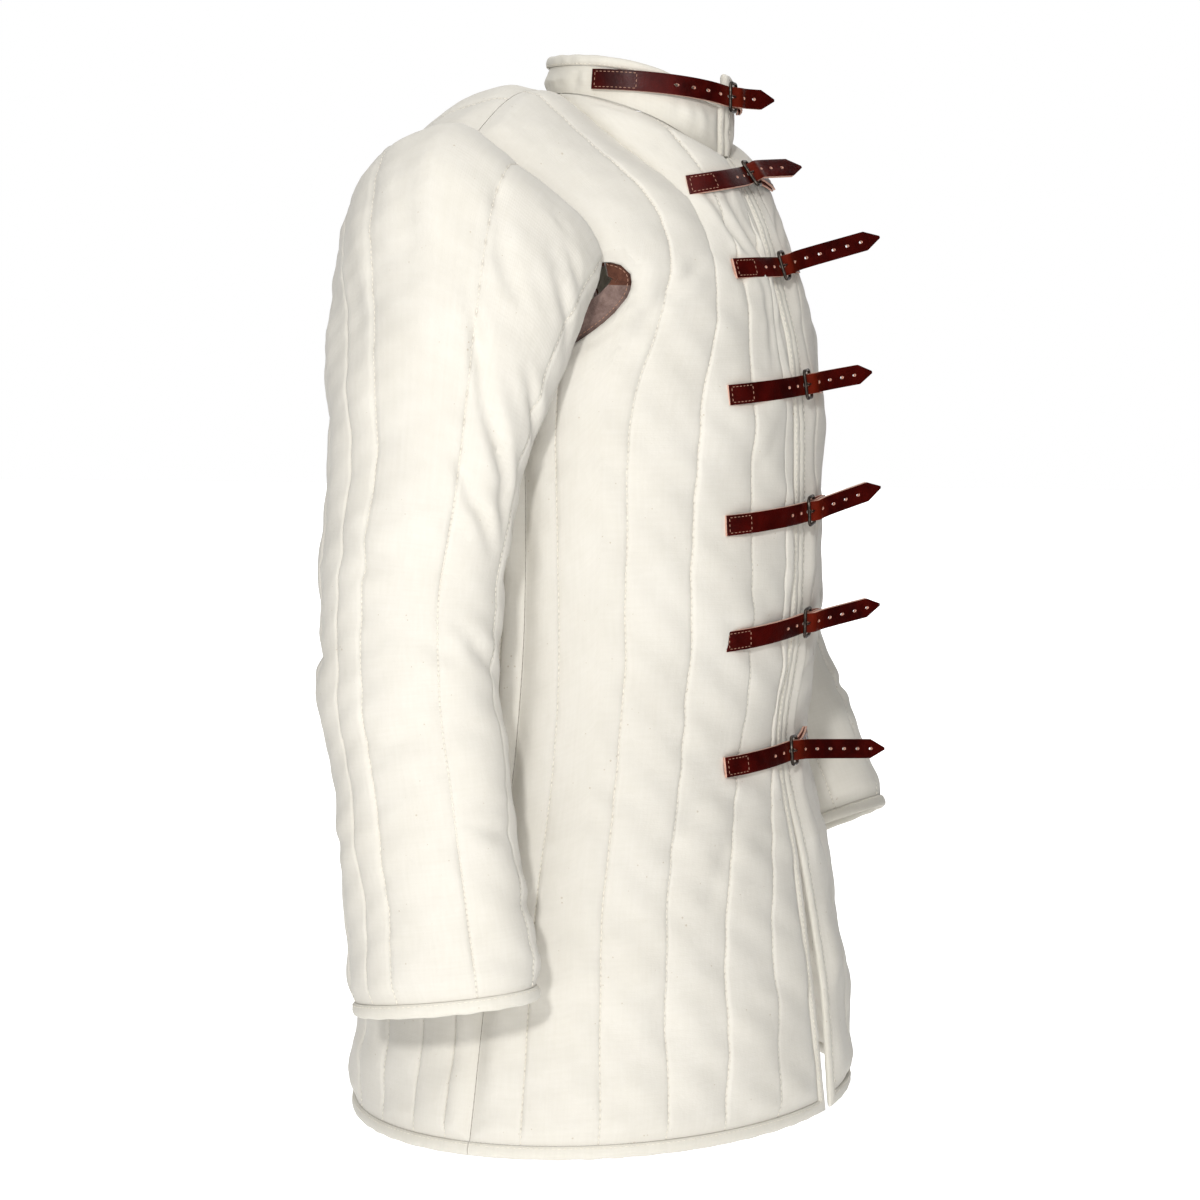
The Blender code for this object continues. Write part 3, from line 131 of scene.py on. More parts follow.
# Creases: depth and half width in mm, then their knots on the surface, as (place, run) or (degrees, run).
# A crease of less than no depth is a ridge.
STRAP_BASES = (
    # pressed in where the straps are sewn on
    (3.2, 8.5, ((2.62, 1.500), (2.10, 1.500))),
    (3.2, 8.5, ((2.42, 1.092), (1.90, 1.092))),
    (3.2, 8.5, ((2.58, 0.872), (2.05, 0.872))),
    (3.2, 8.5, ((2.56, 0.720), (2.02, 0.720))),
    (3.2, 8.5, ((2.50, 0.580), (1.98, 0.580))),
    (3.2, 8.5, ((2.32, 0.424), (1.82, 0.424))),
)
FRONT_CREASES = {
    "right": (
        *STRAP_BASES,
        (3.4, 3.6, ((2.24, 1.560), (2.10, 1.400), (1.80, 1.270), (1.52, 1.180))),
        (3.2, 3.4, ((1.72, 1.660), (1.52, 1.450), (1.20, 1.320), (0.85, 1.200))),
        (3.0, 3.6, ((1.22, 1.780), (0.75, 1.560), (0.45, 1.380), (0.32, 1.200))),
        (2.6, 3.4, ((0.70, 1.100), (0.45, 1.000), (0.36, 0.900))),
        (2.4, 3.6, ((1.45, 1.080), (1.30, 0.980), (1.32, 0.900))),
        (2.0, 6.0, ((2.50, 1.960), (2.47, 1.812), (2.42, 1.640))),
        (1.8, 5.5, ((2.20, 1.900), (2.32, 1.728), (2.48, 1.560))),
        (1.5, 9.0, ((4.95, 0.840), (3.95, 0.780), (2.90, 0.784))),
        (1.6, 10.0, ((4.98, 0.644), (3.92, 0.592), (2.83, 0.600))),
        (1.4, 8.0, ((4.85, 0.432), (3.73, 0.396), (2.60, 0.400))),
        (1.0, 7.0, ((4.57, 0.392), (3.55, 0.360), (2.58, 0.370))),
        (2.6, 6.5, ((4.07, 1.120), (4.03, 1.010), (4.12, 0.970), (4.35, 0.930), (4.75, 0.935))),
        (2.0, 4.5, ((3.98, 0.988), (3.72, 1.036), (3.30, 1.104))),
        (1.5, 7.5, ((2.55, 0.405), (2.88, 0.356), (3.22, 0.304))),
        (1.7, 8.5, ((1.70, 0.400), (2.15, 0.320), (2.42, 0.240))),
        (1.8, 11.0, ((4.40, 0.300), (4.90, 0.170), (5.10, 0.050))),
        (1.6, 12.0, ((3.20, 0.220), (3.00, 0.120), (3.10, 0.020))),
        (1.4, 7.0, ((1.10, 0.860), (1.70, 0.800), (2.30, 0.815))),
        (1.3, 7.0, ((0.90, 0.660), (1.60, 0.640), (2.20, 0.655))),
        (-1.6, 12.0, ((5.30, 0.720), (5.00, 0.560), (5.20, 0.420))),
        (1.9, 6.0, ((5.60, 0.930), (5.20, 0.860), (4.60, 0.850))),
    ),
    "left": (
        (2.4, 4.6, ((2.30, 1.560), (2.10, 1.390), (1.60, 1.260))),
        (2.2, 4.4, ((1.60, 1.600), (1.30, 1.440), (0.80, 1.280))),
        (2.0, 5.5, ((2.60, 1.920), (2.50, 1.780), (2.44, 1.660))),
        (1.5, 9.0, ((5.05, 0.800), (4.00, 0.770), (2.80, 0.800))),
        (1.6, 10.0, ((4.90, 0.620), (3.80, 0.600), (2.60, 0.630))),
        (1.4, 8.0, ((4.80, 0.440), (3.70, 0.410), (2.40, 0.430))),
        (2.5, 6.5, ((4.07, 1.110), (4.04, 1.000), (4.14, 0.965), (4.40, 0.930), (4.80, 0.930))),
        (1.9, 4.6, ((3.95, 1.000), (3.65, 1.050), (3.25, 1.090))),
        (1.6, 8.5, ((1.60, 0.380), (2.05, 0.310), (2.30, 0.220))),
        (1.7, 11.0, ((4.50, 0.320), (4.80, 0.200), (5.20, 0.070))),
        (1.6, 12.0, ((3.10, 0.240), (3.20, 0.130), (3.00, 0.030))),
        (1.6, 6.5, ((0.50, 0.560), (1.10, 0.530), (1.90, 0.545))),
    ),
}
BACK_CREASES = (
    (1.9, 9.0, ((0.60, 0.860), (2.20, 0.790), (4.20, 0.770), (6.60, 0.790))),
    (1.8, 10.0, ((0.80, 0.640), (2.40, 0.590), (4.40, 0.570))),
    (1.6, 9.0, ((3.60, 0.480), (5.40, 0.450), (7.60, 0.470))),
    (1.7, 12.0, ((1.60, 0.360), (1.90, 0.220), (1.70, 0.060))),
    (1.7, 13.0, ((4.50, 0.330), (4.30, 0.200), (4.60, 0.050))),
    (2.4, 6.5, ((4.20, 1.000), (3.30, 0.965), (2.20, 0.930), (1.20, 0.900))),
    (2.1, 6.0, ((4.95, 1.350), (5.30, 1.150), (5.20, 0.990))),
    (1.6, 6.5, ((5.60, 1.700), (6.10, 1.480), (6.30, 1.260))),
    (1.6, 7.0, ((7.40, 1.860), (7.30, 1.640), (7.40, 1.420))),
    (-1.5, 12.0, ((6.40, 0.960), (6.60, 0.700), (6.30, 0.520))),
)
HEAD_GATHERS = (
    # soft gathers that run down from the top of the armhole
    (2.9, 3.4, ((-46.0, 0.02), (-43.0, 0.20), (-44.0, 0.38))),
    (2.5, 3.2, ((-36.0, 0.02), (-35.0, 0.16), (-37.0, 0.30))),
    (3.1, 3.6, ((-24.0, 0.02), (-23.0, 0.24), (-25.0, 0.46))),
    (2.3, 3.2, ((-15.0, 0.02), (-14.0, 0.14), (-15.0, 0.27))),
    (2.6, 3.6, ((2.0, 0.03), (4.0, 0.22), (3.0, 0.40))),
    (2.1, 3.2, ((14.0, 0.02), (15.0, 0.15), (13.0, 0.28))),
    (2.4, 3.4, ((58.0, 0.03), (63.0, 0.14), (70.0, 0.24))),
    (2.4, 3.4, ((-64.0, 0.03), (-66.0, 0.18), (-64.0, 0.32))),
)
SLEEVE_CREASES = {
    "right": (
        *HEAD_GATHERS,
        (6.2, 4.6, ((34.0, 0.560), (45.0, 0.690), (55.0, 0.800), (69.0, 0.890), (79.0, 0.980), (86.0, 1.350))),
        (4.8, 4.4, ((36.0, 0.900), (52.0, 0.990), (64.0, 1.140), (81.0, 1.510))),
        (3.6, 5.1, ((40.0, 0.250), (48.0, 0.410), (54.0, 0.500), (66.0, 0.560))),
        (3.4, 4.2, ((75.0, 0.650), (87.0, 0.710), (108.0, 0.780))),
        (3.1, 5.1, ((66.0, 0.240), (80.0, 0.400), (108.0, 0.440))),
        (2.3, 3.4, ((70.0, 0.190), (77.0, 0.260), (88.0, 0.330))),
        (3.6, 6.0, ((50.0, 2.200), (62.0, 2.350), (78.0, 2.600), (110.0, 2.880))),
        (2.6, 5.5, ((44.0, 4.240), (69.0, 4.390), (106.0, 4.480))),
        (2.2, 7.6, ((0.0, 0.200), (7.0, 0.440), (10.0, 0.620))),
        (2.0, 6.8, ((-32.0, 0.300), (-22.0, 0.560), (-20.0, 0.800))),
        (2.3, 7.6, ((-40.0, 1.600), (-5.0, 1.720), (30.0, 1.660))),
        (2.0, 8.5, ((-30.0, 3.300), (4.0, 3.420), (36.0, 3.360))),
        (2.6, 7.6, ((10.0, 2.300), (36.0, 2.460), (60.0, 2.660))),
        (3.6, 5.5, ((150.0, 0.900), (120.0, 1.300), (108.0, 1.800))),
        (4.2, 6.0, ((-70.0, 0.700), (-88.0, 0.900), (-100.0, 1.300))),
        (3.4, 6.0, ((-110.0, 2.300), (-76.0, 2.500), (-48.0, 2.620))),
        (3.4, 6.0, ((160.0, 2.500), (130.0, 2.560), (106.0, 2.480))),
        (2.3, 6.8, ((-110.0, 4.200), (-70.0, 4.330), (-30.0, 4.300))),
        (2.1, 6.8, ((150.0, 5.100), (110.0, 5.180), (70.0, 5.120))),
    ),
    "left": (
        *HEAD_GATHERS,
        (5.2, 5.5, ((38.0, 0.600), (50.0, 0.740), (62.0, 0.860), (76.0, 0.980), (88.0, 1.300))),
        (3.9, 5.1, ((40.0, 0.960), (56.0, 1.080), (70.0, 1.240), (84.0, 1.560))),
        (3.4, 5.1, ((44.0, 0.300), (52.0, 0.440), (64.0, 0.560))),
        (2.9, 5.1, ((70.0, 0.260), (86.0, 0.420), (110.0, 0.460))),
        (3.6, 6.0, ((54.0, 2.260), (72.0, 2.480), (100.0, 2.760))),
        (2.9, 6.0, ((40.0, 3.200), (70.0, 3.380), (104.0, 3.420))),
        (2.5, 5.5, ((48.0, 4.300), (74.0, 4.420), (108.0, 4.460))),
        (2.1, 7.6, ((2.0, 0.260), (8.0, 0.500), (12.0, 0.680))),
        (2.2, 7.6, ((-36.0, 1.700), (-2.0, 1.800), (30.0, 1.740))),
        (2.1, 8.5, ((-26.0, 3.500), (8.0, 3.620), (40.0, 3.560))),
        (3.6, 5.5, ((152.0, 1.000), (124.0, 1.380), (110.0, 1.860))),
        (3.9, 6.0, ((-66.0, 0.740), (-86.0, 0.960), (-98.0, 1.360))),
        (3.1, 6.0, ((-108.0, 2.360), (-76.0, 2.560), (-46.0, 2.660))),
        (2.3, 6.8, ((-108.0, 4.300), (-68.0, 4.420), (-28.0, 4.360))),
    ),
}
COLLAR_CREASES = (
    (1.5, 3.6, ((-150.0, 0.10), (-146.0, 0.50), (-149.0, 0.90))),
    (1.3, 4.0, ((-112.0, 0.05), (-108.0, 0.45), (-104.0, 0.85))),
    (1.1, 3.4, ((-72.0, 0.10), (-66.0, 0.40), (-60.0, 0.60))),
    (1.4, 4.0, ((168.0, 0.15), (172.0, 0.50), (170.0, 0.90))),
    (1.3, 3.8, ((118.0, 0.10), (122.0, 0.50), (126.0, 0.85))),
    (1.2, 3.6, ((64.0, 0.10), (70.0, 0.50), (74.0, 0.80))),
)


# Cloth, as in the solids
WALL = 0.003  # cloth and padding under a stitched line
PUFF = 0.006  # what the padding adds half way between two lines
SLEEVE_PUFF = 0.005
SEAM_GAP = 0.00032  # between two pieces sewn together
ROLL_WIDTH = 0.010  # rolled edge of the fronts, the hem and the cuffs
SEAM_SHARE = 0.008  # of a channel, left free at the side seam

# Leather and metal
STRAP_WIDTH = 0.0155
STRAP_THICK = 0.0026
STRAP_LIFT = 0.0069  # underside of the leather over a stitched line's level
CHAPE_THICK = 0.0016
BAR = 0.0013  # radius of the buckle's wire
BUCKLE_HALF_LENGTH = 0.0070
BUCKLE_HALF_WIDTH = STRAP_WIDTH / 2 + 0.0031
TONGUE = 0.0009
TIP_LENGTH = 0.016
CHAPE_LENGTH = 0.042  # from the strap's line over the front's edge to the chape's sewn end
UNDER = 0.0005  # between two things that touch
FOLD_INNER = BAR + UNDER
SLOT_SHARE = 0.19  # of a strap's half width, to the side of the slot that the tongue goes through
EDGE_REACH = 0.013  # nearer to centre front than this, the straps run straight over the two rolled edges
STRAP_OVER_BUCKLE = (
    # length along the line from the buckle's middle, then share of the climb over the buckle
    (-0.0100, 0.0),
    (-0.0074, 0.0),
    (-0.0052, 0.10),
    (0.0035, 0.99),
    (0.0062, 1.01),
    (0.0100, 1.03),
)

# Body: one row for each level, with the half width and the depths of the stitched level
HEM = -0.786
SPLIT = -0.155  # the panels are cut by the armholes above this level
ARMPIT = -0.222
ARMPIT_POWER = 1.6  # 2 is an ellipse under the arm, 1 a straight line
BODY_COLUMNS = ("z", "half_width", "front", "back")
BODY_LEVELS = (
    (HEM, 0.244, 0.195, 0.188),
    (-0.700, 0.232, 0.187, 0.181),
    (-0.600, 0.218, 0.172, 0.172),
    (-0.505, 0.200, 0.155, 0.161),
    (-0.420, 0.196, 0.166, 0.155),
    (-0.320, 0.198, 0.169, 0.157),
    (-0.226, 0.201, 0.167, 0.162),
    (-0.190, 0.200, 0.162, 0.161),
    (SPLIT, 0.197, 0.153, 0.157),
)
# Half the gap that opens between the two front edges below the lowest strap
FRONT_GAP = ((HEM, 0.007), (-0.700, 0.011), (-0.600, 0.005), (-0.530, 0.0), (0.0, 0.0))

# Stitched lines: the angle of each round the body, from centre front at 0 to centre back at 180
SIDE_SEAM = ((HEM, 90.0), (-0.620, 87.0), (-0.505, 84.0), (-0.360, 82.0), (SPLIT, 82.0))
FRONT_LINES = (
    # level, then the lines between the front edge and the side seam
    (HEM, 19.5, 34.0, 47.5, 61.8, 78.3),
    (-0.620, 16.5, 30.5, 46.0, 61.0, 76.5),
    (-0.505, 7.5, 21.0, 39.5, 56.5, 73.0),
    (-0.360, 9.5, 22.5, 40.5, 57.0, 73.5),
    (ARMPIT, 9.5, 21.5, 35.5, 53.0, 72.5),
    (SPLIT, 9.0, 19.0, 28.5, 43.0, 68.0),
)
BACK_LINES = (
    # level, then the lines between the side seam and centre back
    (HEM, 96.5, 106.0, 118.0, 131.0, 144.0, 156.0, 168.0),
    (-0.620, 93.0, 102.0, 114.0, 128.0, 141.5, 154.0, 167.0),
    (-0.360, 87.5, 95.0, 106.0, 119.5, 134.5, 149.5, 165.0),
    (SPLIT, 87.5, 95.0, 106.0, 119.5, 134.5, 149.5, 165.0),
)
FRONT_CHANNELS = 6.0
BACK_CHANNELS = 8.0  # from the side seam to centre back
# The columns, in lines, where the sleeves are sewn in, and how far the open armpit is cut into the front
FRONT_ARMHOLE = 4.71
FRONT_VENT = 4.38
VENT_TOP = (1.03, 1.13)  # runs at which the front's cut ends, at its tip and at the sleeve's seam
BACK_ARMHOLE = 4.6

# Neck and shoulder
NECK_CENTRE = -0.033
NECK_HALF_WIDTH = 0.079
NECK_HALF_DEPTH = 0.072
NECK_RISE = ((0.0, -0.047), (22.0, -0.039), (60.0, -0.017), (100.0, -0.001), (140.0, 0.004), (180.0, 0.002))
NECK_POINT_ANGLE = 127.0
FRONT_TILTS = (50.0, 38.0)  # slope of the cloth where it meets the neckline at the front, and at the shoulder
BACK_TILTS = (50.0, 7.0)
REACHES = (0.38, 0.52)  # how far the front and the back run straight before they bend to the shoulder
NECK_LEAN = 0.56  # how much the cloth runs inwards where it reaches the neck point
SHOULDER_TIP = (0.197, 0.017, -0.041)
SHOULDER_ARCH = 0.016
# Where each line ends: on the neckline, as an angle, or on the shoulder, as a share of the seam from the neck
FRONT_NECK_ENDS = ((0.0, 7.6), (1.0, 14.0), (2.0, 55.0), (3.0, NECK_POINT_ANGLE))
FRONT_SHOULDER_ENDS = ((3.0, 0.0), (4.0, 0.42), (FRONT_ARMHOLE, 1.0))
BACK_SHOULDER_ENDS = ((BACK_ARMHOLE, 1.0), (5.0, 0.60), (6.0, 0.17), (6.4, 0.0))
BACK_NECK_ENDS = ((6.4, NECK_POINT_ANGLE), (7.0, 147.0), (BACK_CHANNELS, 180.0))

# Collar
COLLAR_HEIGHTS = ((0.0, 0.038), (60.0, 0.029), (110.0, 0.021), (180.0, 0.024))
# The collar's left end stands higher than its right
COLLAR_LIFT = ((0.0, 0.022), (25.0, 0.012), (50.0, 0.002), (180.0, 0.0))
COLLAR_WALL = 0.0045
COLLAR_SEAM = 0.0006
COLLAR_PUFF = 0.003
COLLAR_ROLL = 0.0085
COLLAR_END = 7.6  # degrees from centre front at which the collar's rolled edge begins

# Sleeves: one row for each section down the arm, for a sleeve on the wearer's left
SLEEVE_COLUMNS = ("x", "y", "z", "half_depth", "half_width")
RIGHT_SLEEVE = (  # the wearer's right, written for the left and mirrored
    (0.272, 0.0233, -0.311, 0.0685, 0.0500),
    (0.282, 0.0282, -0.3825, 0.0645, 0.0490),
    (0.288, 0.0245, -0.4536, 0.0650, 0.0490),
    (0.293, 0.0115, -0.5248, 0.0630, 0.0480),
    (0.296, 0.0008, -0.5960, 0.0650, 0.0490),
    (0.298, -0.0083, -0.6640, 0.0695, 0.0520),
)
LEFT_SLEEVE = (
    (0.285, 0.0220, -0.302, 0.0685, 0.0500),
    (0.301, 0.0220, -0.366, 0.0645, 0.0490),
    (0.310, 0.0040, -0.428, 0.0640, 0.0490),
    (0.313, -0.0210, -0.489, 0.0630, 0.0480),
    (0.312, -0.0460, -0.550, 0.0640, 0.0490),
    (0.308, -0.0720, -0.612, 0.0670, 0.0510),
)
SLEEVE_CHANNELS = 7
SLEEVE_SEAM_SHIFT = 0.0007  # of the sleeve's top edge, away from the body
SLEEVE_FIRST_LINE = -10.0  # degrees round the sleeve from its outer side, towards the front
SLEEVE_TURN = 16.0  # the shoulder tip meets this angle of the sleeve
SEWN_BACK = 0.110  # from the shoulder tip; below it the armpit is open
UNDERARM = (0.2235, 0.010, -0.262)  # lowest point of the sleeve's free edge
FREE_WAYS = ((0.35, 0.10, -0.93), (0.65, 0.20, -0.75))  # the free edge's way where the front's and back's seams end
LEAVE = (0.55, 0.25)  # how far the cap spreads as it leaves the armhole, and how much more at the back

# Leather facings round the open armpits
FACING_THICK = 0.0015
FACING_END_GAP = 0.0048  # either side of the side seam, so that the facing bends there without a fold
ARMHOLE_MIDDLE = (0.19, 0.0, -0.14)
FACING_REACH = 0.012  # into the opening
FACING_LAP = 0.007  # under the cloth
FACING_LAP_RUN = 0.06  # the same under the sleeve's top edge, in sections
FACING_SINK = 0.0020  # between a facing and the cloth over it
SLEEVE_FACING_SINK = 0.0006
FACING_DIP = 0.0026  # how far the lapped edge falls away inside the coat

# Straps: a row for each, from the collar down. Level of the buckle, how much lower the sewn end is,
# length from the sewn end to the buckle, free length past it, its rise, how far it leaves the chest, and how
# much deeper it is pulled into the padding than the others
STRAP_COLUMNS = ("z", "drop", "sewn", "free", "rise", "leave", "pulled")
STRAPS = (
    (-0.0640, 0.012, 0.084, 0.066, 0.006, 16.0, 0.0),
    (-0.1340, 0.004, 0.072, 0.105, 0.026, 29.0, 0.0016),
    (-0.2250, 0.009, 0.104, 0.076, 0.010, 22.0, 0.0013),
    (-0.3230, 0.009, 0.108, 0.082, 0.018, 23.0, 0.0),
    (-0.4100, 0.010, 0.104, 0.085, 0.011, 23.0, 0.0008),
    (-0.5125, 0.005, 0.094, 0.100, -0.007, 27.0, 0.0),
)
COLLAR_STRAP = (0.0010, -0.010, 0.124, 0.048, 0.002, 20.0, 0.0)


def curve(knots, values, at):
    """A smooth curve through values at rising knots, read at the places asked for."""
    knots, values, at = (np.asarray(v, float) for v in (knots, values, at))
    slopes = np.gradient(values, knots)
    at = np.clip(at, knots[0], knots[-1])
    i = np.clip(np.searchsorted(knots, at, side="right") - 1, 0, len(knots) - 2)
    span = knots[i + 1] - knots[i]
    f = (at - knots[i]) / span
    return (
        (1 + 2 * f) * (1 - f) ** 2 * values[i]
        + f * (1 - f) ** 2 * span * slopes[i]
        + f**2 * (3 - 2 * f) * values[i + 1]
        - f**2 * (1 - f) * span * slopes[i + 1]
    )


def read(pairs, at):
    """A smooth curve through (place, value) pairs."""
    places, values = zip(*pairs)
    return curve(places, values, at)


def straight(pairs, at):
    """Straight lines through (place, value) pairs."""
    places, values = zip(*pairs)
    return np.interp(at, places, values)


def column(names, rows, wanted):
    return [row[names.index(wanted)] for row in rows]


def unit(v):
    v = np.asarray(v, float)
    return v / np.maximum(np.linalg.norm(v, axis=-1, keepdims=True), 1e-12)


def body_level(z, wanted):
    heights = column(BODY_COLUMNS, BODY_LEVELS, "z")
    return curve(heights, column(BODY_COLUMNS, BODY_LEVELS, wanted), z)


def body_ring(z, degrees):
    """The stitched level of the body at a height and an angle, on the wearer's left."""
    z, angle = np.broadcast_arrays(np.asarray(z, float), np.radians(degrees))
    depth = np.where(np.cos(angle) > 0, body_level(z, "front"), body_level(z, "back"))
    return np.stack([body_level(z, "half_width") * np.sin(angle), -depth * np.cos(angle), z], axis=-1)


def front_edge_angle(z):
    """The angle at which the front panel ends and its rolled edge begins."""
    away = ROLL_WIDTH + SEAM_GAP + 0.0004 + straight(FRONT_GAP, z)
    return np.degrees(np.arcsin(away / body_level(z, "half_width")))


def line_angle(lines, place, z):
    """The angle round the body of a place given in lines, such as 2.5 half way from line 2 to line 3."""
    levels = [row[0] for row in lines]
    angles = [curve(levels, [row[k] for row in lines], z) for k in range(1, len(lines[0]))]
    seam = read(SIDE_SEAM, z)
    if lines is FRONT_LINES:
        angles = [front_edge_angle(z), *angles, seam]
    else:
        angles = [seam, *angles, np.full_like(seam, 180.0)]
    place = np.asarray(place, float)
    low = np.clip(np.floor(place).astype(int), 0, len(angles) - 2)
    stacked = np.stack(np.broadcast_arrays(*angles))
    low_angle, high_angle = (
        np.take_along_axis(stacked, np.broadcast_to(k, stacked.shape[1:])[None], 0)[0] for k in (low, low + 1)
    )
    return low_angle + (place - low) * (high_angle - low_angle)


def neck_ring(degrees, grow=0.0, rise=0.0):
    """The collar's seam at an angle from centre front, on the wearer's left."""
    angle = np.radians(degrees)
    return np.stack(
        [
            (NECK_HALF_WIDTH + grow) * np.sin(angle),
            NECK_CENTRE - (NECK_HALF_DEPTH + grow) * np.cos(angle),
            read(NECK_RISE, degrees) + rise,
        ],
        axis=-1,
    )


def shoulder_seam(share):
    """The shoulder seam, from the neck at 0 to the tip at 1."""
    share = np.asarray(share, float)
    neck = neck_ring(np.full_like(share, NECK_POINT_ANGLE))
    seam = neck + (np.array(SHOULDER_TIP) - neck) * share[..., None]
    seam[..., 2] += SHOULDER_ARCH * np.sin(math.pi * share)
    return seam


def seam_normal(share):
    """The way out of the cloth along the shoulder seam, the same for the front and the back."""
    tilt = np.radians((FRONT_TILTS[1] - BACK_TILTS[1]) / 2)
    along = shoulder_seam(np.minimum(share + 0.01, 1.0)) - shoulder_seam(np.maximum(share - 0.01, 0.0))
    return unit(np.cross(along, np.array([0.0, math.cos(tilt), math.sin(tilt)])))


def armhole_floor(lines, place, armhole, side_line):
    """The height at which a column under the arm ends: a rounded corner from the armhole's edge to the side."""
    share = np.clip(np.abs(side_line - place) / abs(side_line - armhole), 0, 1)
    return ARMPIT + (SPLIT - ARMPIT) * (1 - (1 - share**ARMPIT_POWER) ** (1 / ARMPIT_POWER))


def vent_run(place):
    """The run at which the front's cloth begins again over the open armpit."""
    share = np.clip((np.asarray(place, float) - FRONT_VENT) / (FRONT_ARMHOLE - FRONT_VENT), 0, 1)
    tip, seam = VENT_TOP
    return tip + (seam - tip) * np.sqrt(1 - (1 - share) ** 2)


def bezier(a, b, c, d, f):
    f = np.asarray(f, float)[..., None]
    return a * (1 - f) ** 3 + 3 * b * f * (1 - f) ** 2 + 3 * c * f**2 * (1 - f) + d * f**3


def panel_top(place, ends_on_neck, ends_on_shoulder, back):
    """Where a long column ends, and the way it runs there."""
    neck = neck_ring(straight(ends_on_neck, place))
    seam = shoulder_seam(straight(ends_on_shoulder, place))
    neck_point = ends_on_neck[0][0] if back else ends_on_neck[-1][0]
    on_neck = (place >= neck_point) if back else (place <= neck_point)
    share = (BACK_CHANNELS - place) / (BACK_CHANNELS - neck_point) if back else place / neck_point
    share = np.clip(share, 0, 1) ** 2
    at_neck, at_shoulder = BACK_TILTS if back else FRONT_TILTS
    tilt = np.radians(at_neck * (1 - share) + at_shoulder * share)
    lean = -NECK_LEAN * np.where(on_neck, share**2, 1 - straight(ends_on_shoulder, place))
    along = unit(np.stack([lean, (-1 if back else 1) * np.cos(tilt), np.sin(tilt)], axis=-1))
    return np.where(on_neck[..., None], neck, seam), along


def panel_point(place, run, back):
    """A point of the stitched level of a front or of half the back, on the wearer's left.
    run goes from 0 at the hem to 1 at the split or the armhole's floor, and on to 2 at the neck or shoulder."""
    place, run = np.broadcast_arrays(np.asarray(place, float), np.asarray(run, float))
    lines, armhole = (BACK_LINES, BACK_ARMHOLE) if back else (FRONT_LINES, FRONT_VENT)
    side_line = 0.0 if back else FRONT_CHANNELS
    short = (place < armhole) if back else (place > armhole)
    ceiling = np.where(short, armhole_floor(lines, place, armhole, side_line), SPLIT)
    z = HEM + (ceiling - HEM) * np.clip(run, 0, 1)
    low = body_ring(z, line_angle(lines, place, z))
    start_z = np.full_like(z, SPLIT)
    start = body_ring(start_z, line_angle(lines, place, start_z))
    before = body_ring(start_z - 0.004, line_angle(lines, place, start_z - 0.004))
    ends = (BACK_NECK_ENDS, BACK_SHOULDER_ENDS) if back else (FRONT_NECK_ENDS, FRONT_SHOULDER_ENDS)
    top, along = panel_top(place, *ends, back)
    reach = REACHES[1 if back else 0] * np.linalg.norm(top - start, axis=-1, keepdims=True)
    high = bezier(start, start + unit(start - before) * reach, top - along * reach, top, np.clip(run - 1, 0, 1))
    return np.where((run > 1)[..., None], high, low)


def normals(point, u, v, step=1e-3, low_u=-9, high_u=99, low_v=0.0, high_v=2.0):
    """Unit normals of a surface point(u, v), from its own slopes."""
    u0, u1 = np.maximum(u - step, low_u), np.minimum(u + step, high_u)
    v0, v1 = np.maximum(v - step, low_v), np.minimum(v + step, high_v)
    return unit(np.cross(point(u1, v) - point(u0, v), point(u, v1) - point(u, v0)))


def mirrored(points, side):
    """Points made for the wearer's left, put on the side asked for: 1 for left, -1 for right."""
    return points * np.array([side, 1, 1])


def channel_places(first, last, edges, columns):
    """Columns for the channels from one line to the next, with the edges of the cut added."""
    places = {first, last, *edges}
    places |= {k + f for k in range(int(first), int(math.ceil(last))) for f in columns}
    return np.array(sorted(p for p in places if first <= p <= last))


def panel_normals(back, place, run):
    """Normals of a panel, taken from the cloth on the same side of the cut."""
    over = run > 1
    edge = BACK_ARMHOLE if back else FRONT_ARMHOLE
    low_u = np.where(over & back, edge, 0.0)
    high_u = np.where(over, BACK_CHANNELS if back else edge, BACK_CHANNELS if back else FRONT_CHANNELS)

    def surface(u, v):
        return panel_point(u, v, back)

    return normals(surface, place, run, low_u=low_u, high_u=high_u, high_v=np.where(over, 2.0, 1.0))


def cut_columns(back, place):
    """The columns that the armhole cuts in two or ends."""
    return (place < BACK_ARMHOLE - 1e-9) if back else (place > FRONT_VENT + 1e-9)


def open_cells(back, places):
    """The cells that the open armpit takes out of a panel's grid: (column, row)."""
    row = len(LOW_RUNS) - 1
    found = []
    for column_number, (a, b) in enumerate(zip(places[:-1], places[1:])):
        middle = (a + b) / 2
        if cut_columns(back, np.array(middle)):
            found.append((column_number, row))
    return frozenset(found)


def panel_edge(back, place, run, step):
    """Points of a panel's edge, the way out of the panel there, and the normals. step is (place, run)."""
    place, run = np.broadcast_arrays(np.asarray(place, float), np.asarray(run, float))
    point = panel_point(place, run, back)
    inside = panel_point(place - step[0] * 0.01, run - step[1] * 0.01, back)
    return point, unit(point - inside), panel_normals(back, place, run)


def collar_point(degrees, share):
    """The collar's stitched level at an angle either side of centre front, from its seam at 0 to its top at 1."""
    side = np.sign(degrees)
    side = np.where(side == 0, 1.0, side)
    turned = np.abs(degrees)
    full = read(COLLAR_HEIGHTS, turned) + np.where(side > 0, read(COLLAR_LIFT, turned), 0.0)
    height = COLLAR_SEAM + share * full
    return neck_ring(turned, 0.0, height) * np.stack([side, side * 0 + 1, side * 0 + 1], axis=-1)


def collar_normal(degrees):
    angle = np.radians(degrees)
    return unit(
        np.stack([NECK_HALF_DEPTH * np.sin(angle), -NECK_HALF_WIDTH * np.cos(angle), 0 * angle], axis=-1)
    )


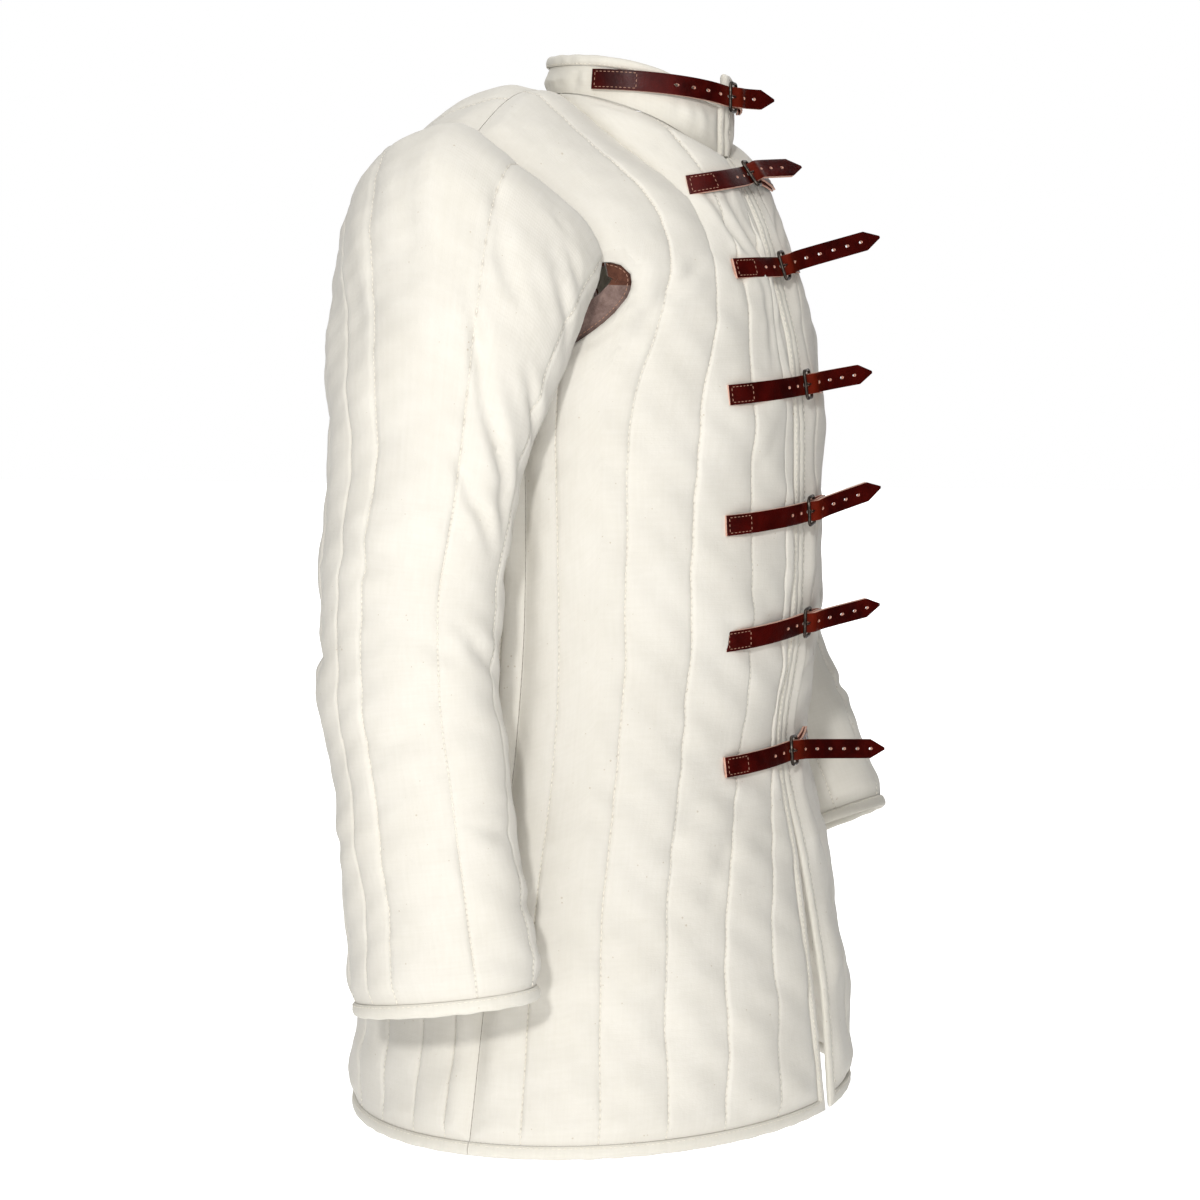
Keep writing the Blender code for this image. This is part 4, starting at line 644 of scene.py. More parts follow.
def armhole_path(back, samples=60):
    """Places and runs of the body's armhole edge, from the shoulder tip to the side seam."""
    turn = np.linspace(0, math.pi / 2, samples)
    if back:
        place = np.concatenate([np.full(samples, BACK_ARMHOLE), BACK_ARMHOLE * np.cos(turn)[1:]])
        run = np.concatenate([np.linspace(2, 1, samples), np.ones(samples - 1)])
        return place, run
    over = FRONT_ARMHOLE + (FRONT_VENT - FRONT_ARMHOLE) * np.sin(turn)[1:]
    under = FRONT_CHANNELS + (FRONT_VENT - FRONT_CHANNELS) * np.cos(turn)
    place = np.concatenate([np.full(samples, FRONT_ARMHOLE), over, under])
    run = np.concatenate([np.linspace(2, VENT_TOP[1], samples), vent_run(over), np.ones(samples)])
    return place, run


def sewn_length(back):
    """How far the sleeve is sewn in from the shoulder tip."""
    if back:
        return SEWN_BACK
    return lengths(panel_point(np.full(60, FRONT_ARMHOLE), np.linspace(2, VENT_TOP[1], 60), False))[-1]


def lengths(points):
    """How far along a line each of its points is."""
    return np.concatenate([[0.0], np.cumsum(np.linalg.norm(np.diff(points, axis=0), axis=1))])


def read_line(at, known, grid):
    """Points read between those of a line whose lengths are known."""
    return np.stack([np.interp(at, known, grid[:, k]) for k in range(3)], axis=-1)


def sleeve_head(back, samples=120):
    """The sleeve's top edge from the shoulder tip to the underarm: sewn to the body, then hanging free."""
    place, run = armhole_path(back)
    body = panel_point(place, run, back)
    along = lengths(body)
    kept = body[along < sewn_length(back) + 1e-6]
    way = unit(FREE_WAYS[1 if back else 0])
    low = np.array(UNDERARM)
    reach = 0.4 * np.linalg.norm(low - kept[-1])
    sweep = np.array([0.0, -1.0 if back else 1.0, -0.1])
    free = bezier(kept[-1], kept[-1] + way * reach, low - unit(sweep) * reach, low, np.linspace(0, 1, samples))
    whole = np.concatenate([kept, free[1:]])
    even = np.linspace(0, lengths(whole)[-1], samples)
    return read_line(even, lengths(whole), whole)


HEADS = (sleeve_head(False), sleeve_head(True))
SECTIONS = len(RIGHT_SLEEVE)


def head_point(degrees):
    """The sleeve's top edge at an angle round it, and the way the cloth leaves the armhole there."""
    turn = np.mod(np.asarray(degrees, float) - SLEEVE_TURN + 180, 360) - 180
    share = np.abs(turn) / 180 * (len(HEADS[0]) - 1)
    front, back = (read_line(share, np.arange(len(head)), head) for head in HEADS)
    point = np.where((turn >= 0)[..., None], front, back)
    middle = (HEADS[0][0] + HEADS[0][-1]) / 2
    spread = LEAVE[0] - LEAVE[1] * np.sin(np.radians(turn))
    leave = unit(unit((point - middle) * (0, 1, 1)) * spread[..., None] + np.array([1.0, 0.0, -0.25]))
    return point, leave


def section_point(rows, degrees, section):
    """A point of the sleeve's lower part, from section 1 on."""
    knots = np.arange(1, len(rows) + 1)
    x, y, z, depth, width = (curve(knots, column(SLEEVE_COLUMNS, rows, c), section) for c in SLEEVE_COLUMNS)
    ahead = [
        curve(knots, column(SLEEVE_COLUMNS, rows, c), np.asarray(section) + 0.01)
        - curve(knots, column(SLEEVE_COLUMNS, rows, c), np.asarray(section) - 0.01)
        for c in "xyz"
    ]
    axis = unit(np.stack(ahead, axis=-1))
    across = unit(np.array([1.0, 0, 0]) - axis * axis[..., :1])
    fore = unit(np.cross(across, axis))
    fore = fore * np.where(fore[..., 1:2] > 0, -1.0, 1.0)
    angle = np.radians(degrees)
    return (
        np.stack(np.broadcast_arrays(x, y, z), axis=-1)
        + across * (width * np.cos(angle))[..., None]
        + fore * (depth * np.sin(angle))[..., None]
    )


def sleeve_point(rows, degrees, run):
    """A point of a sleeve's stitched level: run 0 is its top edge, 1 the first section, and so on to the cuff."""
    degrees, run = np.broadcast_arrays(np.asarray(degrees, float), np.asarray(run, float))
    low = section_point(rows, degrees, np.maximum(run, 1.0))
    first = section_point(rows, degrees, np.ones_like(run))
    second = section_point(rows, degrees, np.full_like(run, 1.05))
    head, leave = head_point(degrees)
    reach = 0.42 * np.linalg.norm(first - head, axis=-1, keepdims=True)
    high = bezier(
        head, head + leave * reach * 0.8, first - unit(second - first) * reach, first, np.clip(run, 0, 1)
    )
    return np.where((run < 1)[..., None], high, low)


def body_facing_edge(back, first, count):
    """The body's edge of the open armpit on one side, from where the sleeve's seam ends down to the side seam."""
    place, run = armhole_path(back)
    along = lengths(panel_point(place, run, back))
    wanted = np.linspace(first, along[-1] - FACING_END_GAP, count)
    place, run = np.interp(wanted, along, place), np.interp(wanted, along, run)
    point = panel_point(place, run, back)
    _, _, normal = panel_edge(back, place, run, (0, 0))
    tangent = unit(np.gradient(point, axis=0))
    outward = unit(np.cross(normal, tangent))
    flip = np.sign((outward * (np.array(ARMHOLE_MIDDLE) - point)).sum(-1, keepdims=True))
    return point, outward * flip, normal


def chest_point(across, height):
    """The stitched level of the chest at a distance from centre front and a height."""
    across, height = np.broadcast_arrays(np.asarray(across, float), np.asarray(height, float))
    places, runs = np.meshgrid(np.linspace(0, 4.3, 150), np.linspace(0.2, 1.99, 180), indexing="ij")
    known = panel_point(places, runs, False)
    flat_across, flat_height = across.ravel(), height.ravel()
    far = (known[None, ..., 0] - flat_across[:, None, None]) ** 2
    far = far + (known[None, ..., 2] - flat_height[:, None, None]) ** 2
    best = far.reshape(len(flat_across), -1).argmin(axis=1)
    place, run = places.ravel()[best], runs.ravel()[best]
    step = 1e-4
    for _ in range(5):
        here = panel_point(place, run, False)
        by_place = (panel_point(place + step, run, False) - here) / step
        by_run = (panel_point(place, run + step, False) - here) / step
        miss = np.stack([flat_across - here[:, 0], flat_height - here[:, 2]])
        square = by_place[:, 0] * by_run[:, 2] - by_run[:, 0] * by_place[:, 2]
        place = np.clip(place + (miss[0] * by_run[:, 2] - miss[1] * by_run[:, 0]) / square, 0.0, 4.6)
        run = np.clip(run + (miss[1] * by_place[:, 0] - miss[0] * by_place[:, 2]) / square, 0.0, 1.999)
    found = panel_point(place, run, False)
    return found.reshape(across.shape + (3,))


def strap_line(row):
    """Along a strap's line on the chest: its lengths from the buckle, the points, the way out and the way across."""
    level, drop, sewn, free, rise, _, _ = row
    across = np.linspace(-sewn * 1.05, 0.060, 120)
    height = level - drop * np.clip(-across / sewn, 0, 1) + rise * np.clip(across / free, 0, 1)
    nearest = np.maximum(np.abs(across), EDGE_REACH)
    point, above, below = (chest_point(nearest, height + step) for step in (0.0, 0.006, -0.006))
    upward = unit((above - below) * np.stack([np.sign(across), across * 0 + 1, across * 0 + 1], axis=-1))
    upward[np.abs(across) < EDGE_REACH, 0] = 0.0
    point[:, 0] = across
    return finish_line(point, upward)


def collar_line(row):
    level, drop, sewn, free, rise, _, _ = row
    degrees = np.linspace(-110, 60, 160)
    point = collar_point(degrees, np.full_like(degrees, 0.5))
    across = lengths(point * (1, 1, 0))
    across -= np.interp(0, degrees, across)
    point[:, 2] = level - drop * np.clip(-across / sewn, 0, 1) + rise * np.clip(across / free, 0, 1)
    kept = (across > -sewn * 1.06) & (across < 0.062)
    return finish_line(point[kept], np.tile([0.0, 0.0, 1.0], (kept.sum(), 1)))


def finish_line(point, upward):
    along = lengths(point)
    along -= np.interp(0, point[:, 0], along)
    tangent = unit(np.gradient(point, along, axis=0))
    level = unit(np.cross(tangent, upward))
    return along, point, level, unit(np.cross(level, tangent))


def across_strap(line, along):
    """The way across a strap at lengths along its line, held from the buckle on."""
    known, _, _, upward = line
    return unit(read_line(np.minimum(along, 0.0), known, upward))


def off_chest(line, along, height):
    """A point that far along a strap's line, raised off the stitched level."""
    known, point, level, _ = line
    along = np.asarray(along, float)
    out = unit(read_line(along, known, level))
    return read_line(along, known, point) + out * np.asarray(height)[..., None]


def strap_heights(lift):
    """Heights over the stitched level: under the outer bar, the two bars, and over the folded chape."""
    outer_bar = lift + STRAP_THICK + UNDER + BAR
    hinge_bar = lift + CHAPE_THICK + UNDER + BAR
    over_fold = hinge_bar + FOLD_INNER + CHAPE_THICK + UNDER
    return outer_bar, hinge_bar, over_fold


def wave(f):
    """How full a channel is, from SEAM_FULL on a stitched line to 1 in the middle."""
    return SEAM_FULL + (1 - SEAM_FULL) * np.sin(math.pi * np.mod(f, 1.0)) ** CHANNEL_FLATNESS


def sleeve_wave(place):
    """The same round a sleeve, one of whose channels has a stitched line of its own."""
    split = int(SLEEVE_EXTRA_LINE)
    share = SLEEVE_EXTRA_LINE - split
    within = np.mod(place, 1.0)
    halved = np.where(within < share, within / share, (within - share) / (1 - share))
    return wave(np.where(np.floor(place) == split, halved, within))


def panel_rows(back, places):
    """Places and runs of a panel's grid. A corner that the armhole cuts away has no number for its run."""
    first = vent_run(places)[:, None]
    high = first + (2.0 - first) * HIGH_SHARES
    past = (places < BACK_ARMHOLE - 1e-9) if back else (places > FRONT_ARMHOLE + 1e-9)
    high[past] = np.nan
    run = np.concatenate([np.broadcast_to(LOW_RUNS, (len(places), len(LOW_RUNS))), high], axis=1)
    return np.repeat(places[:, None], run.shape[1], axis=1), run


def panel_grid(back, places):
    """Places, runs, stitched level and normals of a front or of half the back, on the wearer's left."""
    place, run = panel_rows(back, places)
    known = ~np.isnan(run)
    used = np.where(known, run, 1.0)
    point = panel_point(place, used, back)
    normal = panel_normals(back, place, used)
    point[~known] = np.nan
    last = unit(point[:, -1] - point[:, -2])
    point[:, -1] -= last * SEAM_GAP
    ends = BACK_SHOULDER_ENDS if back else FRONT_SHOULDER_ENDS
    on_seam = (places >= ends[0][0] - 1e-9) & (places <= ends[-1][0] + 1e-9)
    normal[on_seam, -1] = seam_normal(straight(ends, places[on_seam]))
    return place, used, point, normal


# Relief


def crease_paths(surface, rows):
    """The creases of a piece as lines in space: depth, half width and points."""
    paths = []
    for depth, width, knots in rows:
        first, second = np.array(knots, float).T
        t = np.linspace(0, len(first) - 1, 14 * len(first))
        steps = np.arange(len(first))
        if len(first) > 2:
            path = surface(curve(steps, first, t), curve(steps, second, t))
        else:
            path = surface(np.interp(t, steps, first), np.interp(t, steps, second))
        paths.append((depth * 1e-3, width * 1e-3, path))
    return paths


def folded(points, paths):
    """How far the creases move the cloth at each point: troughs with a soft ridge on either side."""
    flat = points.reshape(-1, 3)
    moved = np.zeros(len(flat))
    for depth, width, path in paths:
        reach = 3.6 * width
        low, high = path.min(0) - reach, path.max(0) + reach
        near = np.flatnonzero(((flat > low) & (flat < high)).all(1))
        if len(near) == 0:
            continue
        apart = np.linalg.norm(flat[near][:, None] - path[None], axis=2)
        nearest = apart.argmin(1)
        distance = apart[np.arange(len(near)), nearest]
        along = nearest / (len(path) - 1)
        strength = np.sin(math.pi * np.clip(along, 0.0, 1.0)) ** 0.7
        strength *= 0.85 + 0.15 * np.sin(9.0 * along + 400.0 * width)
        trough = np.exp(-((distance / width) ** 2))
        ridge = np.exp(-(((distance - 2.1 * width) / (1.1 * width)) ** 2))
        moved[near] += depth * strength * (0.32 * ridge - trough)
    return moved.reshape(points.shape[:-1])


def uneven(points):
    """Slow unevenness of padded cloth, the same at a place whichever piece it belongs to."""
    total = np.zeros(points.shape[:-1])
    for x, y, z, phase, share in UNEVEN_WAYS:
        turns = points[..., 0] / x + points[..., 1] / y + points[..., 2] / z
        total += share * np.sin(2 * math.pi * turns + phase)
    return total * UNEVEN


def drawn_up(along, line):
    """The uneven pull of a row of stitches, from -1 to 1."""
    pull, drift, swell = (2 * math.pi * along / length for length in PULL_LENGTHS)
    beat = np.sin(pull + 1.7 * line + 0.9 * np.sin(drift + line))
    return beat * (0.62 + 0.38 * np.sin(swell + 2.3 * line))


def puckers(place, along):
    """Small gathers either side of the stitched lines."""
    to_line = np.abs(place - np.round(place)) * CHANNEL_SPAN
    return PUCKER * np.exp(-to_line / PUCKER_REACH) * drawn_up(along, np.round(place))


def quilted(full, place, along, swing):
    """How far the padding lifts the cloth, from how full the channels are and how that swings along them."""
    share, beat, shift = swing
    return full * (1 - share + share * np.sin(beat * along + shift * np.floor(place))) + puckers(place, along)


def grid_faces(there, wrap, cut):
    """The cells of a grid as corner numbers, counting only the points that are there."""
    index = np.full(there.shape, -1)
    index[there] = np.arange(there.sum())
    rolled = np.roll(index, -1, axis=0)
    quads = np.stack([index[:, :-1], rolled[:, :-1], rolled[:, 1:], index[:, 1:]], axis=-1)
    if not wrap:
        quads = quads[:-1]
    kept = (quads >= 0).all(-1)
    for column_number, row in cut:
        kept[column_number, row] = False
    return quads[kept]


def rim_edges(faces):
    """The edges that only one cell has, in that cell's direction."""
    sides = np.concatenate([faces[:, [k, (k + 1) % 4]] for k in range(4)])
    known = {(int(a), int(b)) for a, b in sides}
    return np.array([(a, b) for a, b in known if (b, a) not in known])


def distance_to(points, targets):
    """The distance from each point to the nearest target."""
    best = np.full(len(points), np.inf)
    for start in range(0, len(targets), 64):
        part = targets[start : start + 64]
        best = np.minimum(best, np.linalg.norm(points[:, None] - part[None], axis=2).min(1))
    return best


def finished_mesh(name, points, faces, look, uv=None, smooth_angle=60.0):
    """An object from points and faces, turned outwards and shaded smooth, with its own UV map in metres."""
    mesh = bpy.data.meshes.new(name)
    mesh.from_pydata(points.tolist(), [], [tuple(int(c) for c in f) for f in faces])
    shaped = bmesh.new()
    shaped.from_mesh(mesh)
    bmesh.ops.recalc_face_normals(shaped, faces=shaped.faces)
    if uv is not None:
        layer = shaped.loops.layers.uv.new("Cloth")
        for face in shaped.faces:
            for loop in face.loops:
                loop[layer].uv = uv[loop.vert.index]
    shaped.to_mesh(mesh)
    shaped.free()
    mesh.shade_smooth()
    mesh.set_sharp_from_angle(angle=math.radians(smooth_angle))
    made = bpy.data.objects.new(name, mesh)
    bpy.context.scene.collection.objects.link(made)
    for each in look if isinstance(look, (list, tuple)) else [look]:
        mesh.materials.append(each)
    return made


def cloth_wall(name, side, point, normal, puff, uv, paths, look, wrap=False, cut=frozenset()):
    """A padded wall over a grid of the stitched level, and the grid of its finished outside."""
    there = ~np.isnan(point[..., 0])
    faces = grid_faces(there, wrap, cut)
    rims = rim_edges(faces)
    flat, way = point[there], normal[there]
    edge = distance_to(flat, flat[np.unique(rims)])
    soft = 1 - np.exp(-((edge / SEAM_SOFT) ** 2))
    moved = folded(flat, paths) + uneven(flat) * soft
    high = puff[there] * soft - SEAM_DIP * np.exp(-((edge / SEAM_DIP_WIDTH) ** 2))
    outer = flat + way * (moved + high)[:, None]
    inner = flat + way * (moved - WALL)[:, None]
    count = len(flat)
    walls = np.array([(b, a, a + count, b + count) for a, b in rims])
    every = np.concatenate([faces, faces[:, ::-1] + count, walls])
    points = mirrored(np.concatenate([outer, inner]), side)
    where = np.concatenate([uv[there], uv[there]])
    made = finished_mesh(name, points, every, look, where)
    grid = np.full(point.shape, np.nan)
    grid[there] = outer
    return made, mirrored(grid, side), mirrored(normal, side)


def ring_body(name, rings, look, closed=False, smooth_angle=60.0):
    """A closed body through rings of points, joined end to end or capped, with its UV map along it."""
    rings = np.asarray(rings)
    count, sides = rings.shape[:2]
    i, k = np.meshgrid(np.arange(count if closed else count - 1), np.arange(sides), indexing="ij")
    after, beside = (i + 1) % count, (k + 1) % sides
    quads = np.stack([i * sides + k, i * sides + beside, after * sides + beside, after * sides + k], axis=-1)
    faces = [tuple(f) for f in quads.reshape(-1, 4)]
    if not closed:
        faces += [tuple(range(sides))[::-1], tuple(range((count - 1) * sides, count * sides))]
    along = lengths(rings[:, 0])
    around = lengths(rings[0])
    uv = np.stack(np.broadcast_arrays(around[None], along[:, None]), axis=-1).reshape(-1, 2)
    return finished_mesh(name, rings.reshape(-1, 3), faces, look, uv, smooth_angle)


def rolled(point, outward, normal, line, width=ROLL_WIDTH, wall=WALL):
    """The sections of a rolled and stitched edge, drawn up unevenly by its stitches."""
    along = lengths(point)
    pull = drawn_up(along, line)[:, None]
    rings = []
    for share, height in ROLL_SECTION:
        swell = 1 + 0.13 * pull * math.sin(math.pi * min(share, 1.0))
        reach = SEAM_GAP + share * width * (1 + 0.035 * drawn_up(along * 0.71, line + 3)[:, None])
        rings.append(point + outward * reach + normal * (height * swell - 0.5) * wall)
    return np.stack(rings, axis=1)


# Materials


def hexcode(code, share=1.0):
    """A colour from its sRGB hex code, in linear light, or a share of it."""
    parts = [int(code[k : k + 2], 16) / 255 for k in (0, 2, 4)]
    linear = (c / 12.92 if c <= 0.04045 else ((c + 0.055) / 1.055) ** 2.4 for c in parts)
    return (*(share * c for c in linear), 1.0)


def fill(tree, node, values):
    """Sets a node's inputs, or links them from other nodes' outputs. i6 is the seventh input."""
    for key, value in values.items():
        numbered = key[0] == "i" and key[1:].isdigit()
        socket = node.inputs[int(key[1:]) if numbered else key.replace("_", " ")]
        if isinstance(value, bpy.types.NodeSocket):
            tree.links.new(value, socket)
        else:
            socket.default_value = value


def add_node(tree, kind, settings=None, **values):
    node = tree.nodes.new(f"ShaderNode{kind}")
    for key, value in (settings or {}).items():
        setattr(node, key, value)
    fill(tree, node, values)
    return node


def new_material(name):
    """A material, its node tree and the object's own coordinates."""
    made = bpy.data.materials.new(name)
    made.use_nodes = True
    return made, made.node_tree, add_node(made.node_tree, "TexCoord").outputs["Object"]


def finish(made, **values):
    """Gives a material's shader its inputs."""
    fill(made.node_tree, made.node_tree.nodes["Principled BSDF"], values)
    return made


def cloth_map(tree):
    return add_node(tree, "UVMap", {"uv_map": "Cloth"}).outputs["UV"]


def noise(tree, place, scale, detail, roughness=0.5):
    node = add_node(tree, "TexNoise", Vector=place, Scale=scale, Detail=detail, Roughness=roughness)
    return node.outputs["Fac"]


def sums(tree, operation, *values):
    """One step of arithmetic on values or other nodes' outputs."""
    inputs = {f"i{k}": value for k, value in enumerate(values)}
    return add_node(tree, "Math", {"operation": operation}, **inputs).outputs[0]


def rescaled(tree, value, low, high, to_low, to_high):
    """A value carried from one range to another."""
    return add_node(tree, "MapRange", Value=value, i1=low, i2=high, i3=to_low, i4=to_high).outputs[0]


def ramp(tree, factor, *stops):
    """A colour ramp with (place, colour) stops."""
    node = add_node(tree, "ValToRGB", i0=factor)
    elements = node.color_ramp.elements
    while len(elements) < len(stops):
        elements.new(0.5)
    for element, (place, colour) in zip(elements, stops):
        element.position = place
        element.color = colour
    return node.outputs["Color"]


def blend(tree, share, first, second):
    """Two colours, mixed by the share of the second."""
    return add_node(tree, "Mix", {"data_type": "RGBA"}, i0=share, i6=first, i7=second).outputs[2]


def relief(tree, height, strength, distance, **under):
    """A bump from a height, over the Normal given with it."""
    return add_node(tree, "Bump", Strength=strength, Distance=distance, Height=height, **under).outputs[0]


def to_nearest(tree, value, step):
    """The distance from a coordinate to the nearest whole number of steps."""
    share = sums(tree, "PINGPONG", sums(tree, "DIVIDE", value, step), 0.5)
    return sums(tree, "MULTIPLY", share, step)


def painted_stitch_shade(tree, cloth, colour):
    """Painted shade in the needle dimples along the stitched lines, and a little painted shade all along their
    grooves.
    """
    parts = add_node(tree, "SeparateXYZ", i0=cloth)
    across = to_nearest(tree, parts.outputs["X"], CHANNEL_SPAN)
    along = to_nearest(tree, parts.outputs["Y"], STITCH_PITCH)
    both = add_node(tree, "CombineXYZ", X=across, Y=along)
    apart = add_node(tree, "VectorMath", {"operation": "LENGTH"}, i0=both.outputs[0])
    # painted shade: dark brown dots at the needle dimples, and a faint dark line along the stitched groove
    hole = rescaled(tree, apart.outputs["Value"], 0.0003, 0.0011, 0.26, 0.0)
    groove_shade = rescaled(tree, across, 0.0002, 0.0014, 0.05, 0.0)
    return blend(tree, sums(tree, "MAXIMUM", hole, groove_shade), colour, hexcode("74634C"))


def cotton_canvas(name, light, dark, weave=1.0, quilting=False):
    """Unbleached cotton canvas, plain woven: matt, a little fuzzy, with slubs and brown seed flecks; quilted canvas
    also gets painted shade along its stitched lines.
    """
    made, tree, place = new_material(name)
    cloth = cloth_map(tree)
    waves = {"Vector": cloth, "Scale": 0.5 / THREAD_SPACING, "Distortion": 0.7, "Detail": 2.0}
    warp, weft = (add_node(tree, "TexWave", {"bands_direction": way}, **waves).outputs["Fac"] for way in "XY")
    drawn_out = ((1.0, 0.09, 1.0), (0.09, 1.0, 1.0))
    ways = [add_node(tree, "Mapping", Vector=cloth, Scale=scale).outputs[0] for scale in drawn_out]
    slubs = sums(tree, "ADD", *(noise(tree, way, 520.0, 3.0) for way in ways))
    tone = sums(tree, "MULTIPLY_ADD", slubs, 0.30, 0.10)
    tone = sums(tree, "MULTIPLY_ADD", noise(tree, place, 16.0, 5.0, 0.6), 0.55, tone)
    flecks = add_node(tree, "TexVoronoi", Vector=place, Scale=140.0, Randomness=1.0)
    limit = rescaled(tree, noise(tree, place, 47.0, 1.0), 0.44, 0.74, 0.0, 0.12)
    faint = sums(tree, "MULTIPLY", sums(tree, "LESS_THAN", flecks.outputs["Distance"], limit), 0.40)
    plain = ramp(tree, tone, (0.30, hexcode(dark)), (0.95, hexcode(light)))
    colour = blend(tree, faint, plain, hexcode("9C8562"))
    if quilting:
        # painted shade along the stitched lines of quilted canvas
        colour = painted_stitch_shade(tree, cloth, colour)
    height = sums(tree, "MULTIPLY_ADD", slubs, 0.9, sums(tree, "MAXIMUM", warp, weft))
    fine = relief(tree, height, 0.13 * weave, 0.00035)
    soft = relief(tree, noise(tree, place, 95.0, 3.0, 0.55), 0.35, 0.0012, Normal=fine)
    sheen = {"Sheen_Weight": 0.18, "Sheen_Roughness": 0.6}
    return finish(made, Base_Color=colour, Normal=soft, Roughness=0.93, Specular_IOR_Level=0.22, **sheen)


def flex_wear_and_sheen(tree, patches):
    """How much the leather is lighter, partly from wear and partly as a painted sheen: most where it bends over its
    buckle, where its UV map starts.
    """
    along = add_node(tree, "SeparateXYZ", i0=cloth_map(tree)).outputs["X"]
    apart = sums(tree, "ABSOLUTE", sums(tree, "SUBTRACT", along, 0.006))
    return sums(tree, "MULTIPLY", rescaled(tree, apart, 0.002, 0.020, 0.75, 0.0), patches)


def waxed_leather(name, dark, light, worn, roughness):
    """Vegetable tanned strap leather, dyed and waxed: smooth and glossy, lighter where it bends, partly from wear and
    partly as a painted sheen.
    """
    made, tree, place = new_material(name)
    cloudy = noise(tree, place, 38.0, 4.0, 0.6)
    dyed = ramp(tree, cloudy, (0.36, hexcode(dark)), (0.74, hexcode(light)))
    # the lighter colour where the strap bends is partly wear and partly a painted sheen
    colour = blend(tree, flex_wear_and_sheen(tree, cloudy), dyed, hexcode(worn))
    grain = add_node(tree, "TexVoronoi", Vector=place, Scale=900.0)
    creased = noise(tree, place, 210.0, 4.0, 0.7)
    height = sums(tree, "MULTIPLY_ADD", grain.outputs["Distance"], 0.45, creased)
    normal = relief(tree, height, 0.5, 0.0005)
    rubbed = rescaled(tree, creased, 0.3, 0.75, roughness - 0.07, roughness + 0.13)
    wax = {"Specular_IOR_Level": 0.13, "Coat_Weight": 0.03, "Coat_Roughness": 0.2}
    return finish(made, Base_Color=colour, Normal=normal, Roughness=rubbed, **wax)


def raw_leather(name, dark, light):
    """The cut edge and flesh side of the same leather: undyed, matt and fibrous."""
    made, tree, place = new_material(name)
    fibres = noise(tree, place, 420.0, 5.0, 0.7)
    colour = ramp(tree, fibres, (0.3, hexcode(dark)), (0.7, hexcode(light)))
    normal = relief(tree, fibres, 0.6, 0.0004)
    return finish(made, Base_Color=colour, Normal=normal, Roughness=0.85, Specular_IOR_Level=0.25)


def suede(name, upper, lower):
    """Suede facing in two pieces, redder above and greyer below: napped, and brushed lighter in patches."""
    made, tree, place = new_material(name)
    nap = noise(tree, place, 60.0, 8.0, 0.72)
    level = add_node(tree, "SeparateXYZ", i0=place).outputs["Z"]
    tones = [ramp(tree, nap, (0.34, hexcode(dark)), (0.70, hexcode(light))) for dark, light in (upper, lower)]
    colour = blend(tree, sums(tree, "LESS_THAN", level, SUEDE_JOIN), *tones)
    normal = relief(tree, sums(tree, "ADD", nap, noise(tree, place, 700.0, 3.0)), 0.7, 0.0006)
    sheen = {"Sheen_Weight": 0.5, "Sheen_Roughness": 0.45}
    return finish(made, Base_Color=colour, Normal=normal, Roughness=0.95, Specular_IOR_Level=0.2, **sheen)


def iron_wire(name):
    """Blackened iron wire: dark oxide, rubbed to bright metal in places."""
    made, tree, place = new_material(name)
    worn = noise(tree, place, 260.0, 5.0, 0.65)
    colour = ramp(tree, worn, (0.35, hexcode("2A2522")), (0.55, hexcode("4A423C")), (0.68, hexcode("8C8379")))
    rubbed = rescaled(tree, worn, 0.35, 0.7, 0.55, 0.28)
    normal = relief(tree, worn, 0.5, 0.0004)
    return finish(made, Base_Color=colour, Normal=normal, Roughness=rubbed, Metallic=0.9)


def twisted_thread(name, code):
    """Sewing thread: twisted, a little shiny."""
    made, tree, place = new_material(name)
    twist = noise(tree, place, 900.0, 2.0)
    colour = ramp(tree, twist, (0.3, hexcode(code, 0.8)), (0.7, hexcode(code)))
    normal = relief(tree, twist, 0.5, 0.0002)
    return finish(made, Base_Color=colour, Normal=normal, Roughness=0.7, Specular_IOR_Level=0.35)


# the quilted canvas carries painted shade along its stitched lines
CANVAS = cotton_canvas("unbleached cotton canvas", "D8D4CB", "CBC6BA", quilting=True)
CANVAS_EDGE = cotton_canvas("rolled cotton canvas edge", "D9D5CB", "CAC5B8", 0.8)
# 76240F is the lighter bent leather by the buckle: partly wear, partly a painted sheen
STRAP_LEATHER = waxed_leather("waxed strap leather", "2A0403", "4C0B07", "76240F", 0.34)
RAW_EDGE = raw_leather("raw leather edge", "B98A78", "DDB6A4")
FLESH_SIDE = raw_leather("leather flesh side", "6A2E22", "96594A")
SUEDE = suede("brown suede facing", ("33190F", "6E4433"), ("54403A", "927C74"))
IRON = iron_wire("blackened iron wire")
COTTON_THREAD = twisted_thread("cotton sewing thread", "EAE4D6")
WAXED_THREAD = twisted_thread("waxed linen thread", "B48A74")



# Stitches


def deselect():
    for found in bpy.context.selected_objects:
        found.select_set(False)


def take_out(made):
    """The points and faces of a piece, which is then removed."""
    points = np.array([v.co for v in made.data.vertices])
    faces = [tuple(p.vertices) for p in made.data.polygons]
    bpy.data.objects.remove(made)
    return points, faces


def modelled_stitch():
    """One stitch along X, which every row copies: a short round thread that dips into the cloth at both ends."""
    deselect()
    bpy.ops.mesh.primitive_ico_sphere_add(subdivisions=1, radius=1.0, location=(0, 0, 0))
    made = bpy.context.object
    bpy.ops.object.mode_set(mode="EDIT")
    bpy.ops.transform.resize(value=(STITCH_LENGTH / 2, THREAD, THREAD))
    bpy.ops.object.mode_set(mode="OBJECT")
    return take_out(made)


STITCH = modelled_stitch()
thread_rows = {}


